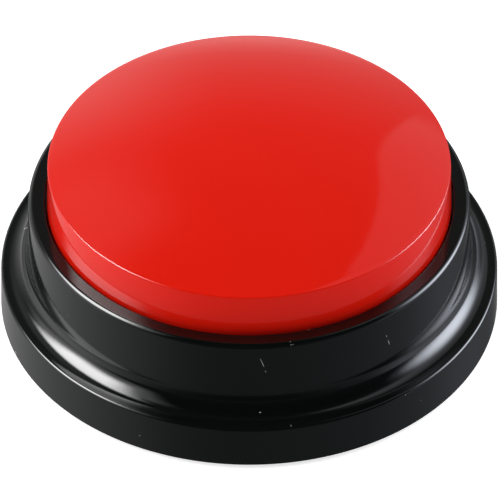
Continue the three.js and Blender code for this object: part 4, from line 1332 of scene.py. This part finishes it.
cut_parts = []
for radius, count in ((0, 1), (4.2, 6), (8.4, 12)):
    for i in range(count):
        x, y = on_circle(radius, 360 * i / count)
        hole = [
            (0, cover_low.z - 1), (1.6, cover_low.z - 1), (1.6, cover_low.z),
            (1.2, cover_low.z + 0.4), (1.2, cover_top + 1), (0, cover_top + 1),
        ]
        cut_parts.append(placed_at(lathe(hole, 28, closed=False), x, speaker_y + y))
for x in (-14, 14):
    cut_parts.append(
        bar((x - 3.3, bay_low.y - 1.5, cover_top), (x + 3.3, bay_low.y + 0.3, cover_top + 2.15))
    )
cut_parts.append(
    bar(
        (knob_mid.x - 2.15, slide_low.y, cover_low.z - 1),
        (knob_mid.x + 2.15, slide_high.y, cover_low.z + 1),
        0.0,
    )
)
cut_parts.append(
    bar(
        (knob_low.x - 0.2, slide_mid.y - 2.7, cover_low.z),
        (knob_high.x + 0.2, slide_mid.y + 2.7, cover_top + 1),
    )
)
foot_places = [span(f"rubber_foot_{i}")[2] for i in (1, 2, 3, 4)]
for foot in foot_places:
    cut_parts.append(
        tube(foot.x, foot.y, 4.15, 0, cover_low.z - 1, span("rubber_foot_1")[1].z + clearance, 48)
    )
join_or_cut(cover, gather(cut_parts), "DIFFERENCE")

cover_black, tree, shader = new_finish("Matte black cover", 0.45)
pebble = placed(tree, pebbled_skin, Grain_size=2300.0, Patch_size=70.0)
marks = placed(tree, hairlines, Density=0.8)
dust = placed(tree, settled_dust, Spacing=210.0, Amount=0.10)
shade = mixed(
    tree, pebble.outputs["Tone"], (0.0085, 0.0090, 0.0090, 1), (0.0135, 0.0140, 0.0140, 1)
)
shade = mixed(
    tree, maths(tree, "MULTIPLY", dust.outputs["Specks"], 0.5), shade, (0.25, 0.25, 0.24, 1)
)
shade = mixed(
    tree, maths(tree, "MULTIPLY", marks.outputs["Lines"], 0.25), shade, (0.06, 0.06, 0.06, 1)
)
tree.links.new(shade, shader.inputs["Base Color"])
rough = eased(tree, pebble.outputs["Tone"], 0.12, 0.38)
tree.links.new(
    maths(tree, "SUBTRACT", rough, maths(tree, "MULTIPLY", marks.outputs["Lines"], 0.12)),
    shader.inputs["Roughness"],
)
bumped(tree, shader, pebble.outputs["Height"], 0.32, 0.00012)
finish_piece(cover, cover_black, "housing", ["bottom_cover"])

# Contacts and cells. Two AAA cells lie side by side in the bay; nickel-plated steel strips with
# wound springs and pressed bumps join them end to end, and their tabs come up through the roof.

nickel = toned(
    "Nickel plate", drawn_metal, (0.52, 0.50, 0.46), (0.68, 0.66, 0.62), 0.16, 0.3, 0.08,
    metallic=1.0, Stretch=(1.0, 0.1, 1.0),
)
plate_half = 4.2
link_low = span("battery_link_contact")[0]
_, near_high, near_mid = span("battery_near")
far_mid = span("battery_far")[2]
near_y = near_mid.y
far_y = far_mid.y
cell_z = near_mid.z
sheet_thick = 0.4
contact_x = span("battery_plus_contact")[1].x - sheet_thick


def sheet_in_bay(row):
    """A contact plate at the +X end of the bay, and its tab up through the roof."""
    return [
        bar(
            (contact_x, row - plate_half, link_low.z),
            (contact_x + sheet_thick, row + plate_half, bay_roof - 0.1),
            0.1,
        ),
        bar(
            (contact_x, row - 1.1, bay_roof - 1), (
                contact_x + sheet_thick, row + 1.1, bay_top + 1.4
            ), 0.08
        ),
    ]


def pressed_bump(row):
    """The shallow dome that meets a cell's nub."""
    made = lathe(
        [(0, -0.35), (0.8, -0.32), (1.3, -0.2), (1.8, 0.02), (2.1, 0.12), (0, 0.12)],
        32,
        closed=False,
    )
    return placed_at(placed_at(made, axis="Y", degrees=90), contact_x, row, cell_z)


def cone_spring(row, length):
    """A conical spring from its plate to the cell's flat end, at -X of the plate."""
    made = swept(coil(plate_half - 0.6, 1.9, length, 3.5, 0.6, 120), 0.3, 12)
    return placed_at(
        placed_at(made, axis="Y", degrees=-90), contact_x + sheet_thick / 2, row, cell_z
    )


spring_length = contact_x + sheet_thick / 2 - span("battery_minus_contact")[0].x
plus_piece = as_object("contact_plus", gather(sheet_in_bay(near_y) + [pressed_bump(near_y)]))
finish_piece(plus_piece, nickel, "housing", ["battery_plus_contact"], 40)
minus_piece = as_object(
    "contact_minus", gather(sheet_in_bay(far_y) + [cone_spring(far_y, spring_length)])
)
finish_piece(minus_piece, nickel, "housing", ["battery_minus_contact"], 40)
strip_parts = (
    sheet_in_bay(near_y)
    + sheet_in_bay(far_y)
    + [cone_spring(near_y, spring_length), pressed_bump(far_y)]
)
strip_parts.append(
    bar(
        (contact_x, near_y + plate_half - 0.3, 6.5),
        (contact_x + sheet_thick, far_y - plate_half + 0.3, 9.5),
        0.08,
    )
)
link_made = gather(strip_parts)
bmesh.ops.scale(link_made, vec=(-1, 1, 1), verts=link_made.verts)
bmesh.ops.reverse_faces(link_made, faces=link_made.faces)
link_piece = as_object("contact_link", link_made)
finish_piece(link_piece, nickel, "housing", ["battery_link_contact"], 40)

cell_half = 43.5 / 2
cell_outline = [
    (0, -cell_half + 0.12), (2.9, -cell_half + 0.12), (3.2, -cell_half), (4.5, -cell_half),
    (4.72, -cell_half + 0.12), (4.8, -cell_half + 0.3),
]
cell_outline += [
    (4.95, -cell_half + 0.32), (5.15, -cell_half + 0.55), (5.15, cell_half - 0.55),
    (4.95, cell_half - 0.32), (4.8, cell_half - 0.3),
]
cell_outline += [
    (4.7, cell_half - 0.12), (4.4, cell_half), (2.6, cell_half), (2.3, cell_half - 0.12),
    (2.0, cell_half - 0.05), (1.9, cell_half + 0.1), (1.9, cell_half + 0.62),
    (1.72, cell_half + 0.8), (0, cell_half + 0.8),
]
cell_jacket, tree, shader = new_finish("Cell jacket", 0.25)
jacket_place = node(tree, "ShaderNodeTexCoord")
jacket_xyz = node(tree, "ShaderNodeSeparateXYZ")
tree.links.new(jacket_place.outputs["Object"], jacket_xyz.inputs[0])
flip = eased(tree, maths(tree, "LESS_THAN", jacket_xyz.outputs["Y"], 0.009), 2.0, -1.0)
along = maths(tree, "MULTIPLY", jacket_xyz.outputs["X"], flip)
film = placed(tree, moulded_skin, Flow_size=120.0, Peel_size=900.0)
shade = mixed(tree, film.outputs["Tone"], (0.012, 0.075, 0.21, 1), (0.018, 0.10, 0.27, 1))
shade = mixed(tree, ramp(tree, along, 0.0085, 0.0086), shade, (0.62, 0.63, 0.64, 1))
shade = mixed(tree, ramp(tree, along, 0.0110, 0.0111), shade, (0.014, 0.014, 0.016, 1))
tree.links.new(shade, shader.inputs["Base Color"])
rough = eased(tree, film.outputs["Tone"], 0.1, 0.2)
tree.links.new(rough, shader.inputs["Roughness"])
bumped(tree, shader, film.outputs["Height"], 0.1, 0.0002)
cell_steel = toned(
    "Cell end steel", drawn_metal, (0.50, 0.50, 0.50), (0.64, 0.64, 0.63), 0.2, 0.35, 0.08,
    metallic=1.0,
)
near_mid_x = near_high.x - 0.8 - cell_half
for name, row, facing, middle in (
    ("battery_near", near_y, 1, near_mid_x), ("battery_far", far_y, -1, -near_mid_x)
):
    cell_made = placed_at(
        lathe(held(cell_outline, closed=False), 56, closed=False), axis="Y", degrees=90 * facing
    )
    cell = as_object(name + "_cell", placed_at(cell_made, middle, row, cell_z))
    finish_piece(cell, cell_jacket, "housing", [name])
    two_finishes(cell, cell_steel, lambda c, m=middle: abs(c.x - m) > cell_half - 0.31)

# Battery door. A flat moulding in the cover's matte black with two tongues that hook under the
# bay's edge, a lug with a sunk screw hole, finger ridges and a moulded arrow that shows which way
# it lifts.

door_low, door_high, _ = span("battery_door")
door_top = door_low.z + door_thick
door = as_object(
    "battery_door_panel", slab(round_rect(-25.2, 25.2, -2.8, 20.8, 1.2), door_low.z, door_top, 0.18)
)
door_parts = [
    tube(0, lug_y, 4.0, 0, door_low.z, door_top, 56, 0.18),
    bar((-4.0, 18.8, door_low.z), (4.0, lug_y, door_top), 0.18),
]
for x in (-14, 14):
    door_parts.append(
        bar((x - 3, bay_low.y + 0.1, door_top - 0.3), (x + 3, bay_low.y + 1.1, door_high.z), 0.12)
    )
    door_parts.append(
        bar((x - 3, door_low.y, cover_top + 0.3), (x + 3, bay_low.y + 1.1, door_high.z), 0.18)
    )
join_or_cut(door, gather(door_parts), "UNION")
door_cuts = [tube(0, lug_y, 1.3, 0, door_low.z - 1, door_top + 1, 32)]
door_cuts.append(
    placed_at(
        lathe(
            [
                (0, door_low.z - 1), (2.5, door_low.z - 1), (2.5, door_low.z + 0.05),
                (1.3, door_low.z + 1.24), (0, door_low.z + 1.24),
            ],
            40,
            closed=False,
        ),
        0,
        lug_y,
    )
)
for i in range(-2, 3):
    y = 17 + i * 1.1
    door_cuts.append(bar((-6, y - 0.25, door_low.z - 1), (6, y + 0.25, door_low.z + 0.29), 0.06))
arrow = [(-2.2, 8.2), (-0.9, 8.2), (-0.9, 4.2), (0.9, 4.2), (0.9, 8.2), (2.2, 8.2), (0, 11.0)]
door_cuts.append(slab(arrow, door_low.z - 1, door_low.z + 0.25))
line_outer = slab(round_rect(-22.6, 22.6, -0.4, 13.6, 1.0), door_low.z - 1, door_low.z + 0.16)
frame_ring = as_object("door_panel_line", line_outer)
join_or_cut(
    frame_ring,
    slab(round_rect(-22.2, 22.2, 0.0, 13.2, 0.7), door_low.z - 2, door_low.z + 1),
    "DIFFERENCE",
)
join_or_cut(door, gather(door_cuts), "DIFFERENCE")
join_or_cut(door, taken_up(frame_ring), "DIFFERENCE")
finish_piece(door, cover_black, "door", ["battery_door"])

# Screws. Zinc-plated steel with cross recesses and rolled threads: three long ones hold the cover,
# two hold the board, three hold the speaker, and a countersunk one stays captive in the door.


def cross_recess(made_head, size, depth):
    """Cuts a tapered driver's cross into a head whose face is at z = 0 and looks down."""
    arms = []
    for turn in (0, 90):
        arm = bmesh.new()
        wide, thin = size, size * 0.2
        ring_low = [
            arm.verts.new((x * wide, y * thin, -0.5))
            for x, y in ((-1, -1), (1, -1), (1, 1), (-1, 1))
        ]
        ring_high = [
            arm.verts.new((x * wide * 0.45, y * thin * 0.7, depth))
            for x, y in ((-1, -1), (1, -1), (1, 1), (-1, 1))
        ]
        arm.faces.new(list(reversed(ring_low)))
        arm.faces.new(ring_high)
        for i in range(4):
            n = (i + 1) % 4
            arm.faces.new((ring_low[i], ring_low[n], ring_high[n], ring_high[i]))
        bmesh.ops.recalc_face_normals(arm, faces=arm.faces)
        arms.append(placed_at(arm, axis="Z", degrees=turn))
    tool = as_object("cross", arms.pop())
    join_or_cut(tool, gather(arms), "UNION")
    join_or_cut(made_head, taken_up(tool), "DIFFERENCE")
    return made_head


def screw(name, node_name, body, head_outline, shank, length, recess, pitch=0.7):
    """A screw that points up, from the face of its head at the node's lowest point."""
    low, _, middle = span(node_name)
    outline = list(head_outline)
    thread_start = outline[-1][1] + 0.3
    outline.append((shank * 0.82, outline[-1][1]))
    count = int((length - shank - thread_start) / pitch)
    for i in range(count):
        z = thread_start + i * pitch
        outline += [
            (shank * 0.8, z),
            (shank, z + pitch * 0.42),
            (shank, z + pitch * 0.5),
            (shank * 0.8, z + pitch * 0.9),
        ]
    outline += [(shank * 0.78, length - shank), (0, length)]
    piece = as_object(name, lathe(outline, 32, closed=False))
    cross_recess(piece, recess, min(0.8, length * 0.2))
    piece.data.transform(Matrix.Translation(Vector((middle.x, middle.y, low.z)) * MM))
    return finish_piece(piece, zinc_steel, body, [node_name], 40)


def pan_head(radius, thick):
    """Outline of a pan head, its face at 0."""
    return (
        [(0, 0), (radius * 0.7, 0)]
        + arc(radius * 0.7, radius * 0.3, radius * 0.3, 280, 360, 6)
        + [(radius, thick)]
    )


for i in (1, 2, 3):
    screw(f"cover_screw_{i}", f"housing_screw_{i}", "housing", pan_head(2.6, 1.5), 1.05, 11.0, 1.35)
for i in (1, 2):
    low, high, _ = span(f"board_screw_{i}")
    screw(
        f"circuit_screw_{i}", f"board_screw_{i}", "housing", pan_head(1.9, 1.1), 0.75,
        high.z - low.z, 1.0, 0.5,
    )
for i in (1, 2, 3):
    low, _, spot = span(f"speaker_screw_{i}")
    head_z = 4.06 - low.z
    made = lathe(
        [(0, 0), (0.45, 0.45)]
        + [
            (r, z)
            for k in range(3)
            for r, z in (
                (0.5, 0.5 + 0.45 * k),
                (0.65, 0.68 + 0.45 * k),
                (0.65, 0.74 + 0.45 * k),
                (0.5, 0.92 + 0.45 * k),
            )
        ]
        + [
            (0.62, head_z - 0.05), (2.5, head_z), (2.5, head_z + 0.5), (2.2, head_z + 0.82),
            (1.5, head_z + 0.9), (0, head_z + 0.9),
        ],
        32,
        closed=False,
    )
    fixing = as_object(f"speaker_fixing_{i}", made)
    for arm_x, arm_y in ((1.2, 0.25), (0.25, 1.2)):
        arm = bar((-arm_x, -arm_y, head_z + 0.35), (arm_x, arm_y, head_z + 2))
        join_or_cut(fixing, arm, "DIFFERENCE")
    fixing.data.transform(Matrix.Translation(Vector((spot.x, spot.y, low.z)) * MM))
    finish_piece(fixing, zinc_steel, "housing", [f"speaker_screw_{i}"], 40)
low, high, _ = span("battery_door_screw")
screw(
    "door_captive_screw",
    "battery_door_screw",
    "door",
    [(0, 0), (2.05, 0), (2.2, 0.12), (1.05, 1.15)],
    1.0,
    high.z - low.z,
    1.25,
    0.6,
)

# Feet. Four discs of black rubber with broken edges, pressed and glued into the cover's recesses;
# the buzzer stands on them.

for i in (1, 2, 3, 4):
    low, high, middle = span(f"rubber_foot_{i}")
    radius = (high.x - low.x) / 2
    foot_outline = (
        [(0, low.z + 0.05), (2.6, low.z + 0.03), (3.0, low.z)]
        + arc(radius - 0.4, low.z + 0.4, 0.4, 270, 360, 6)
        + [(radius, high.z - 0.1), (radius - 0.1, high.z), (0, high.z)]
    )
    foot = as_object(
        f"foot_{i}",
        placed_at(lathe(held(foot_outline, closed=False), 56, closed=False), middle.x, middle.y),
    )
    finish_piece(foot, rubber, "housing", [f"rubber_foot_{i}"])

# Leads. Stranded copper in soft PVC, red for plus and black for minus, soldered at both ends: two
# to the speaker, one from the plus contact, one to the power switch and one from it to the board.


def smooth_path(spots, steps):
    """A smooth curve through the spots, the same each way along."""
    spots = [Vector(spot) for spot in spots]
    whole = [spots[0] * 2 - spots[1]] + spots + [spots[-1] * 2 - spots[-2]]
    made = []
    for a, b, c, d in zip(whole, whole[1:], whole[2:], whole[3:]):
        t1 = (b - a).length ** 0.5
        t2 = t1 + (c - b).length ** 0.5
        t3 = t2 + (d - c).length ** 0.5
        for i in range(steps):
            t = t1 + (t2 - t1) * i / steps
            a1 = a.lerp(b, t / t1) if t1 else a
            a2 = b.lerp(c, (t - t1) / (t2 - t1))
            a3 = c.lerp(d, (t - t2) / (t3 - t2))
            b1 = a1.lerp(a2, t / t2)
            b2 = a2.lerp(a3, (t - t1) / (t3 - t1))
            made.append(b1.lerp(b2, (t - t1) / (t2 - t1)))
    return made + [spots[-1]]


red_lead = toned(
    "Red lead", moulded_skin, (0.42, 0.012, 0.010), (0.52, 0.020, 0.015), 0.35, 0.5, 0.15,
    Flow_size=200.0, Peel_size=1500.0,
)
black_lead = toned(
    "Black lead", moulded_skin, (0.006, 0.006, 0.006), (0.012, 0.012, 0.012), 0.35, 0.5, 0.15,
    Flow_size=200.0, Peel_size=1500.0,
)
pin_top = slide_high.z + 0.3
over_bay = bay_top + 0.8
over_board = board_high.z + 0.8
tab_x = contact_x - 0.8
terminal_top = strip_high.z + 0.3
routes = {
    "speaker_lead_red": [
        (9.5, speaker_y + 2, terminal_top),
        (10, speaker_y + 3, terminal_top + 2),
        (9.5, speaker_y + 4.2, board_low.z - 0.3),
    ],
    "speaker_lead_black": [
        (9.5, speaker_y - 2, terminal_top),
        (10, speaker_y - 3, terminal_top + 2),
        (9.5, speaker_y - 4.2, board_low.z - 0.3),
    ],
    "battery_lead_red": [
        (tab_x, near_y, over_bay),
        (tab_x - 3.2, near_y + 1.2, over_bay + 0.3),
        (17.6, near_y + 1.7, over_board - 0.2),
        (15.5, near_y + 1.9, over_board + 0.1),
    ],
    "battery_lead_black": [
        (tab_x, far_y - 0.3, over_bay + 0.1), (tab_x - 5, far_y - 2.5, over_bay),
        (0, 11.5, over_bay), (-24.4, 11.5, over_bay + 0.3), (-28.4, 10.6, bay_top - 0.6),
        (-31.5, 8.5, pin_top + 2.2), (-33.2, 6.6, pin_top),
    ],
    "switch_lead_red": [
        (-33.2, 4, pin_top), (-31.5, 4.3, pin_top + 2.6), (-28.4, 5.8, over_bay - 0.3),
        (-25, 6.6, over_bay + 0.3), (-20.4, 6.4, over_bay + 0.4), (-17.8, 4.6, over_board - 0.3),
        (-15.6, 4.4, over_board + 0.1),
    ],
}
for name, route in routes.items():
    laid = smooth_path(route, 12)
    lead = as_object(name + "_insulation", swept(laid, 0.5, 14))
    colour = red_lead if "red" in name else black_lead
    finish_piece(lead, colour, "housing", [name], 60)

# The table, the studio and the camera. A pale seamless sheet under a white room, with a lamp at
# each side. The lamps and an even room light the surfaces. The gloss mirrors a second drawing of
# the room instead, with panels left and right, a screen behind the right one, and a dark front.

table_mesh = bpy.data.meshes.new("table")
table_made = bmesh.new()
bmesh.ops.create_grid(table_made, x_segments=8, y_segments=8, size=3.0)
table_made.to_mesh(table_mesh)
table_made.free()
table_top = bpy.data.objects.new("table", table_mesh)
bpy.context.scene.collection.objects.link(table_top)
paper = bpy.data.materials.new("Seamless paper")
paper.use_nodes = True
tree = paper.node_tree
tree.nodes.remove(tree.nodes["Principled BSDF"])
path = node(tree, "ShaderNodeLightPath")
side = node(tree, "ShaderNodeNewGeometry")
shaded = node(tree, "ShaderNodeBsdfDiffuse", inputs={"Color": (0.8, 0.8, 0.8, 1)})
white = node(tree, "ShaderNodeEmission", inputs={"Color": (1, 1, 1, 1), "Strength": 0.72})
sheet = node(tree, "ShaderNodeAddShader")
tree.links.new(shaded.outputs[0], sheet.inputs[0])
tree.links.new(white.outputs[0], sheet.inputs[1])
clear = node(tree, "ShaderNodeBsdfTransparent")
from_above = maths(tree, "SUBTRACT", path.outputs["Is Camera Ray"], side.outputs["Backfacing"])
seen = node(tree, "ShaderNodeMixShader")
tree.links.new(from_above, seen.inputs["Fac"])
tree.links.new(clear.outputs[0], seen.inputs[1])
tree.links.new(sheet.outputs[0], seen.inputs[2])
tree.links.new(seen.outputs[0], tree.nodes["Material Output"].inputs["Surface"])
table_mesh.materials.append(paper)

studio = bpy.data.worlds.new("Studio")
studio.use_nodes = True
bpy.context.scene.world = studio
tree = studio.node_tree
aim = node(tree, "ShaderNodeTexCoord")
aim_xyz = node(tree, "ShaderNodeSeparateXYZ")
tree.links.new(aim.outputs["Generated"], aim_xyz.inputs[0])
across, behind, above = aim_xyz.outputs
turn_round = maths(tree, "MULTIPLY", maths(tree, "ARCTAN2", across, behind), 180 / math.pi)
height = maths(tree, "MULTIPLY", maths(tree, "ARCSINE", above, 0.0), 180 / math.pi)


def fade(source, low, high):
    """A smooth step from 0 at low to 1 at high; low may be above high."""
    made = node(tree, "ShaderNodeMapRange", interpolation_type="SMOOTHSTEP")
    made.inputs["From Min"].default_value = low
    made.inputs["From Max"].default_value = high
    tree.links.new(source, made.inputs["Value"])
    return made.outputs["Result"]


def graded(source, low, high, stops):
    """A smooth curve through (position, brightness) stops, positions in the source's own units."""
    line = node(tree, "ShaderNodeValToRGB")
    line.color_ramp.interpolation = "B_SPLINE" if len(stops) > 8 else "EASE"
    while len(line.color_ramp.elements) < len(stops):
        line.color_ramp.elements.new(0.5)
    for element, (place, level) in zip(line.color_ramp.elements, stops):
        element.position = (place - low) / (high - low)
        element.color = (level, level, level, 1)
    tree.links.new(ramp(tree, source, low, high), line.inputs["Fac"])
    return line.outputs["Color"]


def times(*values):
    """The product of several brightnesses."""
    total = values[0]
    for value in values[1:]:
        total = maths(tree, "MULTIPLY", total, value)
    return total


def plus(*values):
    """The sum of several brightnesses."""
    total = values[0]
    for value in values[1:]:
        total = maths(tree, "ADD", total, value)
    return total


def panel_axes(azimuth, elevation, roll):
    """Position on a flat panel that faces the object from a direction: across it and up it."""
    a, e, t = math.radians(azimuth), math.radians(elevation), math.radians(roll)
    middle = Vector((math.sin(a) * math.cos(e), math.cos(a) * math.cos(e), math.sin(e)))
    right = Vector((math.cos(a), -math.sin(a), 0))
    up = Vector((-math.sin(a) * math.sin(e), -math.cos(a) * math.sin(e), math.cos(e)))
    right, up = right * math.cos(t) + up * math.sin(t), up * math.cos(t) - right * math.sin(t)
    parts = []
    for axis in (middle, right, up):
        made = node(tree, "ShaderNodeVectorMath", operation="DOT_PRODUCT")
        tree.links.new(aim.outputs["Generated"], made.inputs[0])
        made.inputs[1].default_value = axis
        parts.append(made.outputs["Value"])
    facing = maths(tree, "GREATER_THAN", parts[0], 0.05)
    depth = maths(tree, "MAXIMUM", parts[0], 0.05)
    return facing, maths(tree, "DIVIDE", parts[1], depth), maths(tree, "DIVIDE", parts[2], depth)


# The back of the room: bright low down, dim overhead, hazy to the left.
backdrop = graded(
    height,
    0,
    90,
    [
        (0, 1.3), (5, 0.8), (8, 0.6), (10, 0.5), (16, 0.38), (22, 0.31), (28, 0.23), (33, 0.17),
        (38, 0.13), (47, 0.11), (56, 0.08), (67, 0.05), (78, 0.03),
    ],
)
backdrop = times(backdrop, plus(times(fade(behind, -0.35, 0.25), 0.95), 0.05))
haze = times(fade(turn_round, -2, -20), fade(turn_round, -60, -34), fade(height, 46, 12), 0.5)
left_haze = times(
    fade(turn_round, -12, -34), fade(turn_round, -75, -45), fade(height, 66, 52),
    fade(height, 30, 44), 0.34,
)

# The soft boxes and the screen.
facing, p, q = panel_axes(-82, 42, 38)
left_core = times(
    facing, fade(p, -0.75, -0.2), fade(p, 0.46, 0.2), fade(q, -0.34, -0.08), fade(q, 0.46, 0.18),
    17.5,
)
left_spill = times(
    facing, fade(p, -1.3, -0.5), fade(p, 0.3, -0.1), fade(q, -0.64, -0.25), fade(q, 0.75, 0.3), 2.2
)
facing, p, q = panel_axes(75, 19, 0)
reach = maths(tree, "SQRT", plus(times(p, p), times(q, q)), 0.0)
right_core = times(facing, fade(reach, 0.6, 0.06), 10.5)
right_spill = times(facing, fade(reach, 0.75, 0.2), 1.9)
over_bend = maths(tree, "SUBTRACT", height, 36.5)
bend = maths(tree, "SQRT", plus(times(over_bend, over_bend), 16.0), 0.0)
screen_edge = plus(times(plus(over_bend, bend), 0.38), 19.3)
past_edge = maths(tree, "SUBTRACT", turn_round, screen_edge)
screen_mask = times(
    fade(past_edge, -0.3, 0.4),
    fade(height, 19, 25),
    fade(height, 82, 71),
    fade(turn_round, 100, 70),
)
screen_glow = graded(
    past_edge,
    -2,
    90,
    [
        (-2, 0.37), (2, 0.37), (6, 0.37), (12, 0.42), (20, 0.6), (30, 0.8), (45, 0.7), (60, 0.35),
        (90, 0.1),
    ],
)
screen = times(screen_mask, screen_glow)

# The sheet on the table, as the gloss mirrors it.
sheet_level = graded(
    turn_round,
    -180,
    180,
    [
        (-180, 0.11), (-150, 0.13), (-125, 0.3), (-95, 0.5), (-60, 0.52), (-25, 0.4), (0, 0.24),
        (22, 0.1), (40, 0.11), (58, 0.23), (75, 0.27), (95, 0.21), (125, 0.15), (180, 0.11),
    ],
)
shine = times(
    fade(height, -38, -8),
    plus(
        times(fade(turn_round, -135, -92), fade(turn_round, -40, -84), 0.9),
        times(fade(turn_round, 128, 96), fade(turn_round, 38, 88), 0.9),
    ),
)
front_dark = plus(times(fade(behind, -0.98, -0.6), 0.85), 0.15)
front_low = plus(times(fade(height, -28, -38), 1.0), times(fade(height, -38, -28), front_dark))
sheet_glow = times(plus(sheet_level, shine), front_low)
below_horizon = fade(height, 2, -2)
mirrored = plus(backdrop, haze, left_haze, screen, left_core, left_spill, right_core, right_spill)
mirrored = plus(times(mirrored, fade(height, -3, 2)), times(sheet_glow, below_horizon))

lighting = plus(times(fade(height, 2, -2), 1.08), 0.115)
path = node(tree, "ShaderNodeLightPath")
by_ray = node(tree, "ShaderNodeMix", data_type="FLOAT")
tree.links.new(path.outputs["Is Glossy Ray"], by_ray.inputs["Factor"])
tree.links.new(lighting, by_ray.inputs[2])
tree.links.new(mirrored, by_ray.inputs[3])
strength = node(tree, "ShaderNodeMix", data_type="FLOAT")
tree.links.new(path.outputs["Is Camera Ray"], strength.inputs["Factor"])
tree.links.new(by_ray.outputs[0], strength.inputs[2])
strength.inputs[3].default_value = 1.0
tree.links.new(strength.outputs[0], tree.nodes["Background"].inputs["Strength"])
cool_side = times(fade(across, 0.1, 0.7), path.outputs["Is Glossy Ray"])
cooled = mixed(tree, cool_side, (1, 1, 1, 1), (0.93, 0.98, 1.09, 1))
tree.links.new(cooled, tree.nodes["Background"].inputs["Color"])


def soft_box(name, azimuth, elevation, distance, width, power):
    """An area light that faces the object; azimuth 0 is behind it (+Y) and 90 is its right (+X)."""
    lamp = bpy.data.lights.new(name, "AREA")
    lamp.shape = "RECTANGLE"
    lamp.size = width
    lamp.size_y = width
    lamp.energy = power
    stand = bpy.data.objects.new(name, lamp)
    bpy.context.scene.collection.objects.link(stand)
    a, e = math.radians(azimuth), math.radians(elevation)
    reach = Vector((math.sin(a) * math.cos(e), math.cos(a) * math.cos(e), math.sin(e)))
    stand.location = reach * distance + Vector((0, 0, 0.02))
    stand.rotation_mode = "QUATERNION"
    stand.rotation_quaternion = reach.to_track_quat("Z", "Y")
    stand.visible_glossy = False
    return stand


lamp_distance = 0.9
lamp_width = 0.8
soft_box("soft_box_left", -91, 38, lamp_distance, lamp_width, 9.3)
soft_box("soft_box_right", 80, 32, lamp_distance, lamp_width, 6.8)

scene = bpy.context.scene
scene.view_settings.view_transform = "Standard"
scene.view_settings.look = "None"
tilt = math.radians(41.45)
frame_width = 500
focal_length = 6126
film_width = 36
stand_off = 1.105
aim_height = 0.01176
lens = bpy.data.cameras.new("camera")
lens.sensor_width = film_width
lens.lens = focal_length * film_width / frame_width
lens.shift_x = 0.8 / frame_width
lens.clip_start = 0.05
lens.clip_end = 20
camera = bpy.data.objects.new("camera", lens)
camera.location = (0, -stand_off * math.cos(tilt), stand_off * math.sin(tilt) + aim_height)
camera.rotation_euler = (math.pi / 2 - tilt, 0, 0)
scene.collection.objects.link(camera)
scene.camera = camera
